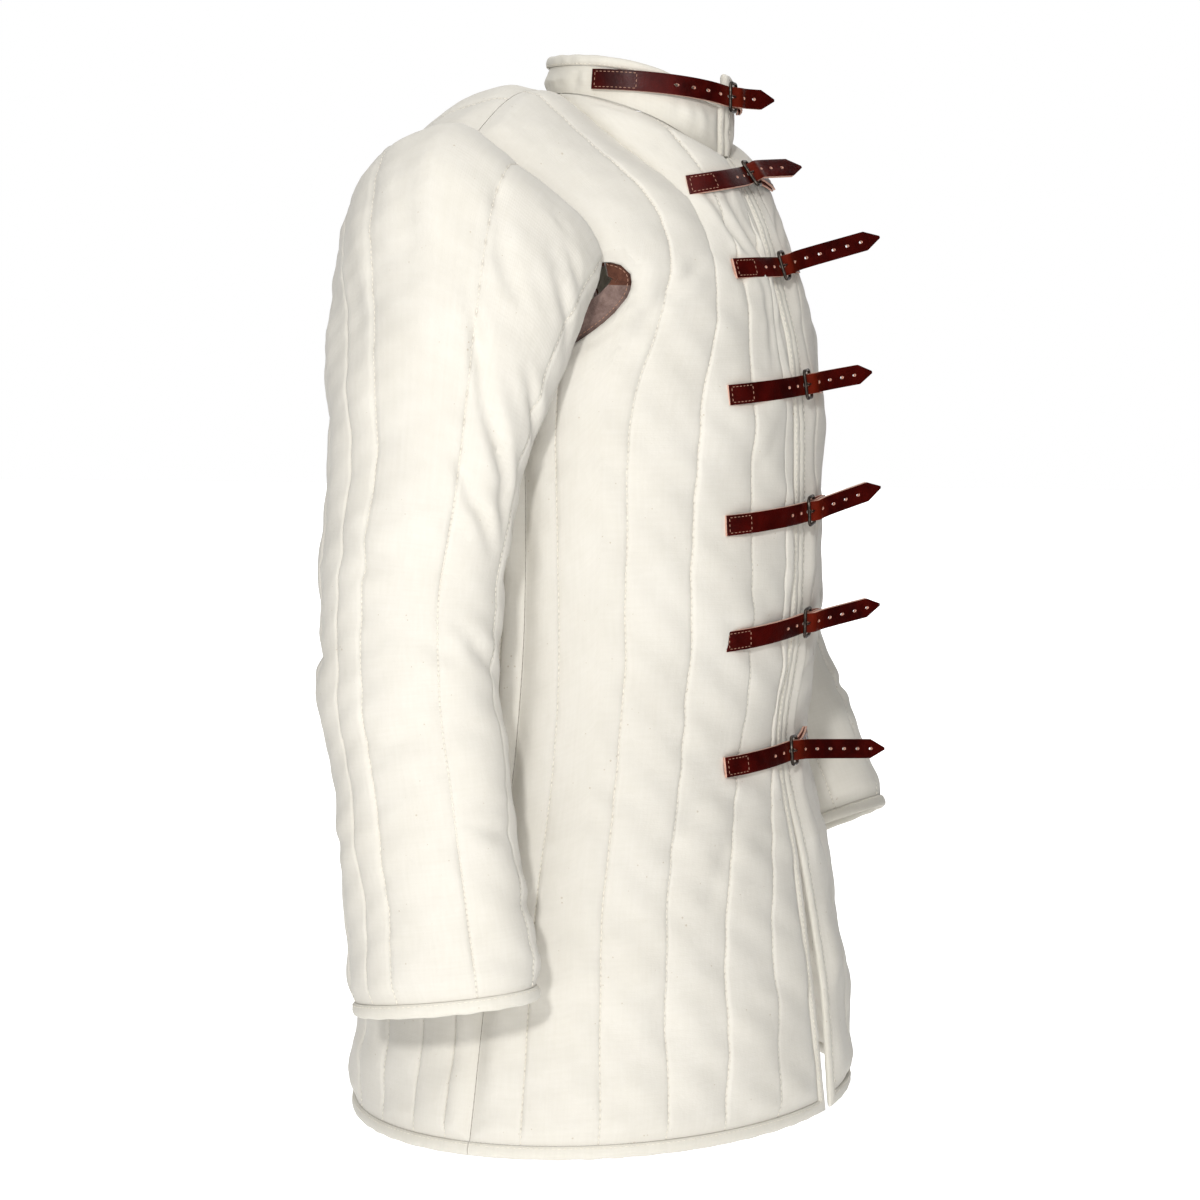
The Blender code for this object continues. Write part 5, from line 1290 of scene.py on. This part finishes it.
def sew(piece, path, up, pitch=STITCH_PITCH, size=1.0, lift=0.35):
    """Keeps a row of stitches along a line for the piece that they hold. up is the way out of the cloth."""
    known = ~np.isnan(path[:, 0])
    path, up = path[known], up[known]
    along = lengths(path)
    count = int(along[-1] / pitch)
    if count < 2:
        return
    wanted = (np.arange(count) + 0.5) * along[-1] / count
    centre, ahead, behind = (read_line(wanted + step, along, path) for step in (0.0, 0.001, -0.001))
    way = unit(ahead - behind)
    out = read_line(wanted, along, up)
    out = unit(out - way * (out * way).sum(-1, keepdims=True))
    thread_rows.setdefault(piece, []).append((centre + out * THREAD * lift * size, way, out, size))


def make_thread(piece, look):
    """All the stitches of one piece, as copies of the modelled stitch in one mesh."""
    points, faces = STITCH
    everything, every_face, count = [], [], 0
    for centre, way, out, size in thread_rows[piece]:
        across = np.cross(out, way)
        placed = centre[:, None] + size * (
            points[None, :, 0:1] * way[:, None] + points[None, :, 1:2] * across[:, None] + points[None, :, 2:3] * out[:, None]
        )
        everything.append(placed.reshape(-1, 3))
        for k in range(len(centre)):
            every_face += [tuple(c + count + k * len(points) for c in face) for face in faces]
        count += len(centre) * len(points)
    made = finished_mesh(f"{piece}_thread", np.concatenate(everything), every_face, look, smooth_angle=80.0)
    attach(made, "root")
    return made


# Cloth pieces


def declare(made, node):
    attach(made, "root")
    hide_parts(node)


def sew_panel(name, back, places, outer, normal, sides):
    """The quilting rows of a panel, broken where the armhole cuts it."""
    split = len(LOW_RUNS)
    for column_number, place in enumerate(places):
        if abs(place - round(place)) > 1e-6 or place <= 0.01 or (not back and place > FRONT_CHANNELS - 0.5):
            continue
        cut = cut_columns(back, np.array(place))
        parts = ((0, split), (split, None)) if cut else ((0, None),)
        for first, last in parts:
            for side in sides:
                flip = np.array([side, 1, 1])
                path, up = outer[column_number, first:last] * flip, normal[column_number, first:last] * flip
                if np.isnan(path[:, 0]).all():
                    continue
                sew(name, path, up)


def front_surface(place, run):
    return panel_point(place, run, False)


def back_surface(place, run):
    return panel_point(place, run, True)


FRONT_PATHS = {hand: crease_paths(front_surface, rows) for hand, rows in FRONT_CREASES.items()}
BACK_PATHS = crease_paths(back_surface, BACK_CREASES)
SIDES = {"right": -1, "left": 1}


def make_front(hand):
    """A front panel, quilted in six channels, cut out at its armhole and its open armpit."""
    places = channel_places(0.0, FRONT_CHANNELS, (FRONT_ARMHOLE, FRONT_VENT), CHANNEL_COLUMNS)
    places[-1] -= SEAM_SHARE
    place, run, point, normal = panel_grid(False, places)
    puff = quilted(PUFF * wave(place), place, HEM + run * RUN_SPAN, FRONT_SWING)
    uv = np.stack([place * CHANNEL_SPAN, run * RUN_CLOTH], axis=-1)
    name = f"quilted_front_{hand}"
    cut = open_cells(False, places)
    made, outer, way = cloth_wall(name, SIDES[hand], point, normal, puff, uv, FRONT_PATHS[hand], CANVAS, cut=cut)
    sew_panel(name, False, places, outer, way, (1,))
    declare(made, f"front_{hand}")


def make_back():
    """The back panel, in one piece from side seam to side seam."""
    places = channel_places(0.0, BACK_CHANNELS, (BACK_ARMHOLE,), BACK_COLUMNS)
    places[0] += SEAM_SHARE
    place, run, point, normal = panel_grid(True, places)
    puff = quilted(PUFF * wave(place), place, HEM + run * RUN_SPAN, BACK_SWING)
    uv = np.stack([place * CHANNEL_SPAN, run * RUN_CLOTH], axis=-1)
    cut = open_cells(True, places)
    last = 2 * (len(places) - 1) - 1
    cut |= {(last - column_number, row) for column_number, row in cut}
    flip = np.array([2 * BACK_CHANNELS * CHANNEL_SPAN, 0.0])
    point, normal = (np.concatenate([g, mirrored(g, -1)[::-1][1:]]) for g in (point, normal))
    puff = np.concatenate([puff, puff[::-1][1:]])
    uv = np.concatenate([uv, (flip + uv * (-1, 1))[::-1][1:]])
    made, outer, way = cloth_wall("quilted_back", 1, point, normal, puff, uv, BACK_PATHS, CANVAS, cut=cut)
    half = len(places)
    sew_panel("quilted_back", True, places, outer[:half], way[:half], (1,))
    sew_panel("quilted_back", True, places[:-1], outer[half:][::-1][: half - 1], way[half:][::-1][: half - 1], (1,))
    declare(made, "back")


def make_front_roll(hand):
    """The rolled edge down a front and along its hem, turned over the padding and stitched down."""
    up = np.linspace(2.0, 0.0, 220)[:-1]
    round_hem = np.append(np.linspace(0.0, FRONT_CHANNELS, 90)[1:-1], FRONT_CHANNELS - SEAM_SHARE)
    edge = panel_edge(False, 0.0, up, (-1, 0))
    corner_in = panel_edge(False, [0.0], [0.0], (-1, 0))
    corner_down = panel_edge(False, [0.0], [0.0], (0, -1))
    hem = panel_edge(False, round_hem, 0.0, (0, -1))
    point, outward, normal = (
        np.concatenate([edge[k], corner_in[k] + (corner_down[k] if k == 1 else 0), hem[k]]) for k in range(3)
    )
    outward[0] -= unit(point[0] - point[1]) * 0.02
    point = point + normal * folded(point, FRONT_PATHS[hand])[:, None]
    rings = mirrored(rolled(point, outward, normal, 1.0), SIDES[hand])
    name = f"rolled_front_edge_{hand}"
    made = ring_body(name, rings, CANVAS_EDGE)
    sew(name, rings[:, 3], mirrored(normal, SIDES[hand]))
    declare(made, f"front_edge_{hand}")


def make_back_roll():
    places = np.append(np.linspace(0.0, BACK_CHANNELS, 90)[1:-1], BACK_CHANNELS)
    places = np.insert(places, 0, SEAM_SHARE)
    point, outward, normal = panel_edge(True, places, 0.0, (0, -1))
    point = point + normal * folded(point, BACK_PATHS)[:, None]
    point, outward, normal = (np.concatenate([g, mirrored(g, -1)[::-1][1:]]) for g in (point, outward, normal))
    rings = rolled(point, outward, normal, 2.0)
    made = ring_body("rolled_back_hem", rings, CANVAS_EDGE)
    sew("rolled_back_hem", rings[:, 3], normal)
    declare(made, "back_hem_edge")


def make_collar():
    """The standing collar and the roll over its top and its two ends."""
    half = np.arange(COLLAR_END, 180.0, COLLAR_STEP)
    around = np.concatenate([half, 360.0 - half[::-1]])
    degrees = np.where(around > 180, around - 360, around)
    shares = np.linspace(0.0, 1.0, COLLAR_ROWS)
    grid = np.stack([collar_point(degrees, np.full_like(degrees, s)) for s in shares], axis=1)
    normal = np.repeat(collar_normal(degrees)[:, None], COLLAR_ROWS, axis=1)
    fullness = np.sin(math.pi * shares) ** 0.7
    puff = COLLAR_PUFF * fullness[None] * (0.8 + 0.2 * drawn_up(degrees * 0.0013, 4.0))[:, None]
    uv = np.stack(np.broadcast_arrays(around[:, None] * 0.0014, shares[None] * 0.032), axis=-1)
    paths = crease_paths(collar_point, COLLAR_CREASES)
    made, outer, way = cloth_wall("standing_collar", 1, grid, normal, puff, uv, paths, CANVAS_EDGE)
    declare(made, "collar")
    up = np.array([0.0, 0.0, 1.0])
    middle = np.array([0.5])
    front_out = unit(
        collar_point(np.array([COLLAR_END - 1.0]), middle) - collar_point(np.array([COLLAR_END]), middle)
    )[0]
    other_out = front_out * np.array([-1, 1, 1])
    ends = COLLAR_ROWS - 1
    point = np.concatenate([grid[0, :-1], grid[:, -1], grid[-1, :-1][::-1]])
    outward = np.concatenate(
        [
            np.tile(front_out, (ends, 1)),
            [front_out + up],
            np.tile(up, (len(grid) - 2, 1)),
            [other_out + up],
            np.tile(other_out, (ends, 1)),
        ]
    )
    first_ways, last_ways = (np.repeat(normal[k, :1], ends, 0) for k in (0, -1))
    normals_here = np.concatenate([first_ways, normal[:, 0], last_ways])
    rings = rolled(point, outward, normals_here, 3.0, COLLAR_ROLL, COLLAR_WALL * 0.8)
    edge = ring_body("rolled_collar_edge", rings, CANVAS_EDGE)
    sew("rolled_collar_edge", rings[:, 3], normals_here)
    declare(edge, "collar_edge")


def sleeve_grid(rows, places, runs):
    place, run = np.meshgrid(places, runs, indexing="ij")
    degrees = SLEEVE_FIRST_LINE + place * 360.0 / SLEEVE_CHANNELS

    def surface(u, v):
        return sleeve_point(rows, u, v)

    point = surface(degrees, run)
    around = surface(degrees + 0.2, run) - surface(degrees - 0.2, run)
    down = surface(degrees, np.minimum(run + 0.01, SECTIONS)) - surface(degrees, np.maximum(run - 0.01, 0.0))
    return place, run, point, unit(np.cross(around, down))


def make_sleeve(hand, rows):
    """A sleeve, quilted down its length, with its rolled cuff."""
    side = SIDES[hand]
    paths = crease_paths(lambda degrees, run: sleeve_point(rows, degrees, run), SLEEVE_CREASES[hand])
    beside = tuple(SLEEVE_EXTRA_LINE + step for step in EXTRA_COLUMNS)
    places = channel_places(0.0, float(SLEEVE_CHANNELS), beside, CHANNEL_COLUMNS)[:-1]
    place, run, point, normal = sleeve_grid(rows, places, SLEEVE_RUNS)
    _, leave = head_point(SLEEVE_FIRST_LINE + place[:, 0] * 360.0 / SLEEVE_CHANNELS)
    point[:, 0] += leave * SLEEVE_SEAM_SHIFT
    along = run * SLEEVE_RUN_SPAN
    puff = quilted(SLEEVE_PUFF * sleeve_wave(place), place, along, SLEEVE_SWING)
    uv = np.stack([place * CHANNEL_SPAN, along], axis=-1)
    name = f"quilted_sleeve_{hand}"
    made, outer, way = cloth_wall(name, side, point, normal, puff, uv, paths, CANVAS, wrap=True)
    for column_number, at in enumerate(places):
        if abs(at - round(at)) < 1e-6 or at == SLEEVE_EXTRA_LINE:
            sew(name, outer[column_number], way[column_number])
    declare(made, f"sleeve_{hand}")
    around = np.linspace(0, SLEEVE_CHANNELS, 110)[:-1]
    place, run, point, normal = sleeve_grid(rows, around, np.array([SECTIONS - 0.02, SECTIONS]))
    outward = unit(point[:, 1] - point[:, 0])
    line, normal = point[:, 1], normal[:, 1]
    line = line + normal * folded(line, paths)[:, None]
    rings = mirrored(rolled(line, outward, normal, 5.0), side)
    cuff = ring_body(f"rolled_cuff_{hand}", rings, CANVAS_EDGE, closed=True)
    sew(f"rolled_cuff_{hand}", rings[:, 3], mirrored(normal, side))
    declare(cuff, f"cuff_edge_{hand}")


# Facings of the open armpits


def facing_rings(edge, outward, normal, lapped, lapped_normal, sink, reach=FACING_REACH):
    """Sections of a facing that laps under the cloth's edge and reaches out of it, less towards its ends."""
    swell = (0.3 + 0.7 * np.sin(math.pi * np.linspace(0, 1, len(edge))) ** 0.5)[:, None]
    line = [(edge + (lapped - edge) * swell * f, unit(normal + (lapped_normal - normal) * f)) for f in (1.0, 0.5)]
    line += [(edge + outward * reach * swell * f, normal) for f in (0.0, 0.25, 0.5, 0.75, 0.97)]
    upper = [point - way * (WALL + sink) for point, way in line]
    lower = [point - way * (WALL + sink + FACING_THICK) for point, way in line]
    point, way = edge + outward * reach * swell, normal
    tip = point - way * (WALL + sink + FACING_THICK / 2)
    return np.stack([*upper, tip, *lower[::-1]], axis=1)


def make_body_facing(hand):
    side = SIDES[hand]
    front = body_facing_edge(False, sewn_length(False) + 0.002, 60)
    back = body_facing_edge(True, SEWN_BACK + 0.006, 44)
    point, outward, normal = (np.concatenate([f, b[::-1]]) for f, b in zip(front, back))
    lapped = point - outward * FACING_LAP - normal * FACING_DIP
    rings = mirrored(facing_rings(point, outward, normal, lapped, normal, FACING_SINK, FACING_SHOWN), side)
    name = f"leather_armhole_facing_{hand}"
    made = ring_body(name, rings, SUEDE, smooth_angle=40.0)
    sew(name, rings[:, 3] * 0.6 + rings[:, 2] * 0.4, mirrored(normal, side), pitch=0.0036, size=0.9)
    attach(made, "root")
    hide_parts(f"armhole_facing_{hand}")


def make_sleeve_facing(hand, rows):
    side = SIDES[hand]
    turns = [sewn_length(back) / lengths(HEADS[int(back)])[-1] * 180 for back in (False, True)]
    first, last = (
        (degrees - SLEEVE_FIRST_LINE) * SLEEVE_CHANNELS / 360.0
        for degrees in (SLEEVE_TURN + turns[0] + 4, SLEEVE_TURN + 360 - turns[1] - 4)
    )
    places = np.linspace(first, last, 80)
    _, _, point, normal = sleeve_grid(rows, places, np.array([0.0, FACING_LAP_RUN]))
    outward = unit(point[:, 0] - point[:, 1])
    rings = facing_rings(point[:, 0], outward, normal[:, 0], point[:, 1], normal[:, 1], SLEEVE_FACING_SINK)
    made = ring_body(f"leather_sleeve_facing_{hand}", mirrored(rings, side), SUEDE, smooth_angle=40.0)
    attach(made, "root")
    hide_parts(f"sleeve_facing_{hand}")


# Straps and buckles


def apply_modifiers(made):
    deselect()
    made.select_set(True)
    bpy.context.view_layer.objects.active = made
    bpy.ops.object.convert(target="MESH")
    return bpy.context.object


def joined(parts):
    deselect()
    for part in parts:
        part.select_set(True)
    bpy.context.view_layer.objects.active = parts[0]
    if len(parts) > 1:
        bpy.ops.object.join()
    bpy.ops.object.transform_apply(location=True, rotation=True, scale=True)
    return bpy.context.object


def punch(at, long_half, wide_half):
    """A cutter for a hole or a slot along the strip."""
    bpy.ops.mesh.primitive_cylinder_add(vertices=12, radius=1.0, depth=0.02, location=(at, 0, 0))
    made = bpy.context.object
    made.scale = (long_half, wide_half, 1.0)
    return made


def corner_cutter(at, side, width):
    """A block that cuts one side of a strip's point."""
    slope = math.atan2(width / 2 * (1 - TIP_END), TIP_LENGTH)
    bpy.ops.mesh.primitive_cube_add(size=1.0, location=(0, 0, 0))
    made = bpy.context.object
    made.scale = (0.08, 0.03, 0.02)
    made.rotation_euler = (0, 0, -side * slope)
    away = np.array([math.sin(slope), side * math.cos(slope)]) * 0.015
    middle = np.array([at - TIP_LENGTH / 2, side * width / 4 * (1 + TIP_END)]) + away
    made.location = (*middle, 0)
    return made


def flat_strip(length, width, thick, holes, slots, pointed):
    """A leather strip lying flat from the origin along X, with its holes, slots and point cut and its edges eased."""
    columns = max(int(length / STRIP_STEP), 8)
    deselect()
    bpy.ops.mesh.primitive_grid_add(x_subdivisions=columns, y_subdivisions=6, size=1.0, location=(0, 0, 0))
    strip = bpy.context.object
    bpy.ops.object.mode_set(mode="EDIT")
    bpy.ops.mesh.select_all(action="SELECT")
    bpy.ops.transform.resize(value=(length, width, 1.0))
    bpy.ops.transform.translate(value=(length / 2, 0, -thick / 2))
    bpy.ops.object.mode_set(mode="OBJECT")
    thickened = strip.modifiers.new("thickness", "SOLIDIFY")
    thickened.thickness = thick
    thickened.offset = 1.0
    cutters = [punch(at, HOLE_LONG, HOLE_WIDE) for at in holes]
    cutters += [punch(at, half, SLOT_SHARE * width / 2 + 0.0002) for at, half in slots]
    if pointed:
        cutters += [corner_cutter(length, side, width) for side in (-1, 1)]
    if cutters:
        cutter = joined(cutters)
        cutting = strip.modifiers.new("cuts", "BOOLEAN")
        cutting.operation = "DIFFERENCE"
        cutting.solver = "EXACT"
        cutting.use_self = True
        cutting.object = cutter
    eased = strip.modifiers.new("eased edges", "BEVEL")
    eased.width = EASED_EDGE
    eased.segments = 2
    eased.limit_method = "ANGLE"
    eased.angle_limit = math.radians(40)
    strip = apply_modifiers(strip)
    if cutters:
        bpy.data.objects.remove(cutter)
    return strip


def smoothed(middle):
    """A route through its middle points with its corners rounded, and its length at each point."""
    along = lengths(middle)
    path = read_line(np.arange(0, along[-1], ROUTE_STEP), along, middle)
    reach = int(3 * ROUTE_ROUNDING / ROUTE_STEP)
    weights = np.exp(-((np.arange(-reach, reach + 1) * ROUTE_STEP / ROUTE_ROUNDING) ** 2) / 2)
    weights /= weights.sum()
    before = 2 * path[0] - path[reach:0:-1]
    after = 2 * path[-1] - path[-2 : -reach - 2 : -1]
    padded = np.concatenate([before, path, after])
    path = np.stack([np.convolve(padded[:, k], weights, "valid") for k in range(3)], axis=-1)
    return path, lengths(path)


class Route:
    """A strip's way through space: a point that far along, across and off its middle."""

    def __init__(self, middle, across):
        first = lengths(middle)
        self.path, self.along = smoothed(middle)
        side = unit(read_line(self.along / self.along[-1] * first[-1], first, across))
        tangent = unit(np.gradient(self.path, axis=0))
        self.side = unit(side - tangent * (side * tangent).sum(-1, keepdims=True))
        self.face = np.cross(tangent, self.side)
        self.length = self.along[-1]

    def place(self, along, width, height):
        along = np.asarray(along, float)
        over = np.clip(along, 0, self.length)
        point, side, face = (read_line(over, self.along, grid) for grid in (self.path, self.side, self.face))
        side, face = unit(side), unit(face)
        beyond = (along - over)[..., None]
        return point + side * width[..., None] + face * height[..., None] + np.cross(side, face) * beyond

    def nearest(self, point):
        return self.along[np.linalg.norm(self.path - point, axis=1).argmin()]


def leather_piece(name, strip, route, buckle_at, node):
    """Bends a flat strip along its route. Its faces show how the leather was cut: grain, cut edge or flesh side."""
    mesh = strip.data
    local = np.array([v.co for v in mesh.vertices])
    looks = [0 if p.normal.z > 0.5 else (2 if p.normal.z < -0.85 else 1) for p in mesh.polygons]
    faces = [tuple(p.vertices) for p in mesh.polygons]
    bpy.data.objects.remove(strip)
    bent = route.place(local[:, 0], local[:, 1], local[:, 2])
    uv = np.stack([local[:, 0] - buckle_at, local[:, 1]], axis=-1)
    made = finished_mesh(name, bent, faces, (STRAP_LEATHER, RAW_EDGE, FLESH_SIDE), uv, 50.0)
    for polygon, look in zip(made.data.polygons, looks):
        polygon.material_index = look
    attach(made, "root")
    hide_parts(node)
    return made


def box_rows(name, route, first, last, width, height):
    """Box stitching: along both edges and across both ends."""
    along = np.linspace(first, last, 40)
    half = width / 2 - EDGE_MARGIN
    rows = [(along, np.full(40, side * half)) for side in (-1, 1)]
    rows += [(np.full(12, at), np.linspace(-half, half, 12)) for at in (first, last)]
    for at, across in rows:
        low, high = route.place(at, across, at * 0 + height), route.place(at, across, at * 0 + height + 0.001)
        sew(name, low, unit(high - low), LEATHER_PITCH, 0.74, 0.5)


def make_strap(number, row, line, lift):
    """A strap from its sewn end over the buckle to its free point."""
    _, _, sewn, free, rise, leave, _ = row
    _, _, over_fold = strap_heights(lift)
    half = STRAP_THICK / 2
    base = np.linspace(-sewn, -0.016, 30)
    sunk = BASE_SINK * np.clip(1 - (base + sewn) / BASE_REACH, 0, 1) ** 2
    spans, climb = np.array(STRAP_OVER_BUCKLE).T
    low = off_chest(line, base, lift + half - sunk)
    mid = off_chest(line, spans, lift + half + (over_fold - lift) * climb)
    angle = math.radians(leave)
    away = unit(np.array([math.cos(angle), -math.sin(angle), rise / free]))
    start = spans[-1]
    tail = np.array([0.008, 0.024, free - TIP_LENGTH - start, free - TIP_LENGTH * 0.45 - start, free - start])
    bend = unit(mid[-1] - mid[-2])
    out = [mid[-1]]
    for k, reach in enumerate(tail):
        last = tail[k - 1] if k else 0.0
        out.append(out[-1] + unit(bend * max(0.0, 0.5 - k * 0.4) + away) * (reach - last))
    middle = np.concatenate([low, mid, np.array(out[1:])])
    across = across_strap(line, np.concatenate([base, spans, np.zeros(len(middle) - len(base) - len(spans))]))
    route = Route(middle, across)
    buckle_at = route.nearest(mid[2])
    name = f"leather_strap_{number}"
    before, after = (4, 3) if number == 1 else (2, 6)
    steps = [k for k in range(-before, after + 1) if k]
    holes = [buckle_at + 0.0012 + k * HOLE_PITCH for k in steps]
    holes = [at for at in holes if 0.036 < at < route.length - TIP_LENGTH * 0.9]
    strip = flat_strip(route.length, STRAP_WIDTH, STRAP_THICK, holes, [(buckle_at + 0.0012, 0.0042)], True)
    leather_piece(name, strip, route, buckle_at, f"strap_{number}")
    box_end = 0.036 if number == 1 else 0.024
    box_rows(name, route, 0.0028, box_end, STRAP_WIDTH, half)


def make_chape(number, line, lift):
    """The short strap sewn to the other front, folded round the buckle's hinge bar."""
    _, hinge_bar, _ = strap_heights(lift)
    half = CHAPE_THICK / 2
    hinge, end = BUCKLE_HALF_LENGTH, CHAPE_LENGTH
    lower = np.array([end, 0.030, 0.018, hinge + 0.0032])
    turn = np.radians(np.linspace(-90.0, -270.0, 13))
    radius = FOLD_INNER + half
    upper = np.array([hinge + 0.0034, 0.018, 0.030, end])
    upper_levels = (hinge_bar + radius, lift + half + 0.0030, lift + half + 0.0018)
    upper_height = np.interp(upper, (hinge, 0.030, end), upper_levels)
    along = np.concatenate([lower, hinge + radius * np.cos(turn), upper])
    height = np.concatenate([np.full(4, lift + half), hinge_bar + radius * np.sin(turn), upper_height])
    middle = off_chest(line, along, height)
    eased = np.clip((along - hinge - 0.003) / (end - hinge - 0.003), 0.0, 1.0) ** 1.3
    middle += across_strap(line, along) * (CHAPE_SLANTS[number - 1] * eased)[:, None]
    route = Route(middle, across_strap(line, along))
    fold_at = route.nearest(middle[10])
    name = f"leather_chape_{number}"
    strip = flat_strip(route.length, STRAP_WIDTH, CHAPE_THICK, (), [(fold_at, 0.0085)], False)
    leather_piece(name, strip, route, fold_at, f"chape_{number}")
    box_rows(name, route, route.length - 0.016, route.length - 0.0028, STRAP_WIDTH, half)


def make_buckle(number, line, lift):
    """A buckle bent from iron wire, with a tongue that loops round its hinge bar and lies over the outer bar."""
    outer_bar, hinge_bar, _ = strap_heights(lift)
    long, wide = BUCKLE_HALF_LENGTH, BUCKLE_HALF_WIDTH
    centre = off_chest(line, np.array([-long, long]), np.array([outer_bar, hinge_bar]))
    ahead = unit(centre[1] - centre[0])
    side = across_strap(line, np.array([0.0]))[0]
    side = unit(side - ahead * (side @ ahead))
    out = np.cross(ahead, side)
    if out @ off_chest(line, np.array([0.0]), np.array([1.0]))[0] < 0:
        out = -out
    middle = centre.mean(0)
    deselect()
    bpy.ops.mesh.primitive_plane_add(size=2.0, location=(0, 0, 0))
    frame_wire = bpy.context.object
    bpy.ops.object.mode_set(mode="EDIT")
    bpy.ops.transform.resize(value=(long, wide, 1.0))
    bpy.ops.mesh.bevel(offset=WIRE_CORNER, segments=5, affect="VERTICES")
    bpy.ops.mesh.delete(type="ONLY_FACE")
    bpy.ops.object.mode_set(mode="OBJECT")
    bpy.ops.object.convert(target="CURVE")
    frame_wire.data.bevel_depth = BAR
    frame_wire.data.bevel_resolution = 3
    bpy.ops.object.convert(target="MESH")
    points, faces = take_out(bpy.context.object)
    placed = middle + points[:, :1] * ahead + points[:, 1:2] * side + points[:, 2:] * out
    wire = finished_mesh(f"iron_buckle_frame_{number}", placed, faces, IRON, smooth_angle=70.0)
    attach(wire, "root")
    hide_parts(f"buckle_frame_{number}")
    bpy.ops.curve.primitive_nurbs_path_add(location=(0, 0, 0))
    path = bpy.context.object
    bpy.ops.object.mode_set(mode="EDIT")
    bpy.ops.curve.select_all(action="SELECT")
    bpy.ops.curve.subdivide(number_cuts=2)
    bpy.ops.object.mode_set(mode="OBJECT")
    knots = path.data.splines[0].points
    loop = BAR + TONGUE + 0.00015
    turns = np.radians(np.linspace(60.0, -225.0, len(knots) - 4))
    route = [(long + loop * math.cos(a), loop * math.sin(a), 0.95) for a in turns]
    reach = BAR + TONGUE + UNDER * 0.5
    route += [(long * 0.3, reach * 0.85, 0.95), (-long * 0.45, reach, 0.85), (-long * 0.92, reach, 0.75), (-long - 0.0024, reach - 0.0010, 0.5)]
    for knot, (x, z, radius) in zip(knots, route):
        knot.co = (x, 0.0, z, 1.0)
        knot.radius = radius
    path.data.splines[0].use_endpoint_u = True
    path.data.splines[0].order_u = 3
    path.data.bevel_depth = TONGUE
    path.data.bevel_resolution = 3
    path.data.use_fill_caps = True
    deselect()
    path.select_set(True)
    bpy.context.view_layer.objects.active = path
    bpy.ops.object.convert(target="MESH")
    points, faces = take_out(bpy.context.object)
    placed = middle + points[:, :1] * ahead + points[:, 1:2] * side + points[:, 2:] * out
    tongue = finished_mesh(f"iron_buckle_tongue_{number}", placed, faces, IRON, smooth_angle=70.0)
    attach(tongue, "root")
    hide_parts(f"buckle_tongue_{number}")


# The whole garment

for hand, rows in (("right", RIGHT_SLEEVE), ("left", LEFT_SLEEVE)):
    make_front(hand)
    make_front_roll(hand)
    make_sleeve(hand, rows)
    make_body_facing(hand)
    make_sleeve_facing(hand, rows)
make_back()
make_back_roll()
make_collar()
for number, row in enumerate((COLLAR_STRAP, *STRAPS), start=1):
    on_collar = number == 1
    line = collar_line(row) if on_collar else strap_line(row)
    lift = STRAP_LIFT - row[STRAP_COLUMNS.index("pulled")] - (PUFF - COLLAR_PUFF if on_collar else 0.0)
    make_strap(number, row, line, lift)
    make_chape(number, line, lift)
    make_buckle(number, line, lift)
for piece in thread_rows:
    make_thread(piece, WAXED_THREAD if piece.startswith("leather") else COTTON_THREAD)


# Floor, light and camera

FLOOR = -1.02
CAMERA_TURN = -66.0157  # degrees


def plain_surface(name, colour, glow=0.0):
    made, _, _ = new_material(name)
    lit = {"Emission_Color": hexcode("FFFFFF"), "Emission_Strength": glow}
    return finish(made, Base_Color=hexcode(colour), Roughness=0.9, Specular_IOR_Level=0.1, **lit)


def make_floor():
    """A pale floor, flat and wide under the garment."""
    deselect()
    bpy.ops.mesh.primitive_plane_add(size=1.0, location=(0, 0, 0))
    made = bpy.context.object
    made.name = "studio_sweep"
    made.data.materials.append(plain_surface("pale studio floor", "FFFFFF", 0.5))
    bpy.ops.object.mode_set(mode="EDIT")
    bpy.ops.transform.resize(value=(60.0, 60.0, 1.0))
    bpy.ops.transform.translate(value=(0, 0, FLOOR))
    bpy.ops.object.mode_set(mode="OBJECT")


def make_flag(name, across, colour):
    """A flag out of view at one side of the camera's line, which takes light off that side."""
    turned = math.radians(CAMERA_TURN)
    half_long, half_high = 0.95, 1.1
    ahead = np.array([-math.sin(turned), math.cos(turned), 0.0])
    right = np.array([math.cos(turned), math.sin(turned), 0.0])
    middle = right * across + np.array([0.0, 0.0, -0.2])
    up = np.array([0.0, 0.0, half_high])
    corners = [middle - ahead * half_long - up, middle + ahead * half_long - up]
    corners += [middle + ahead * half_long + up, middle - ahead * half_long + up]
    made = finished_mesh(name, np.array(corners), [(0, 1, 2, 3)], plain_surface(f"{name} cloth", colour))
    made.visible_camera = False


def add_light(name, place, aim, power, size, colour=(1.0, 1.0, 1.0)):
    made = bpy.data.lights.new(name, "AREA")
    made.energy = power
    made.size = size
    made.color = colour
    lamp = bpy.data.objects.new(name, made)
    bpy.context.scene.collection.objects.link(lamp)
    lamp.location = place
    way = Vector(aim) - Vector(place)
    lamp.rotation_euler = way.to_track_quat("-Z", "Y").to_euler()


make_floor()
make_flag("right_flag", 0.98, "080808")
make_flag("left_flag", -0.98, "4A4A4A")
add_light("key", (-6.0, -1.85, 1.6), (0, 0, -0.35), 182.0, 0.35)
world = bpy.data.worlds.new("studio white")
world.use_nodes = True
world.node_tree.nodes["Background"].inputs[0].default_value = (1, 1, 1, 1)
world.node_tree.nodes["Background"].inputs[1].default_value = 1.0
bpy.context.scene.world = world
bpy.context.scene.view_settings.view_transform = "Standard"

view = bpy.data.cameras.new("photo view")
view.lens = 85.2
view.sensor_width = 36.0
eye = bpy.data.objects.new("photo view", view)
eye.location = (-2.102, -0.933, -0.255)
eye.rotation_euler = (math.radians(86.4536), 0.0, math.radians(CAMERA_TURN))
bpy.context.scene.collection.objects.link(eye)
bpy.context.scene.camera = eye
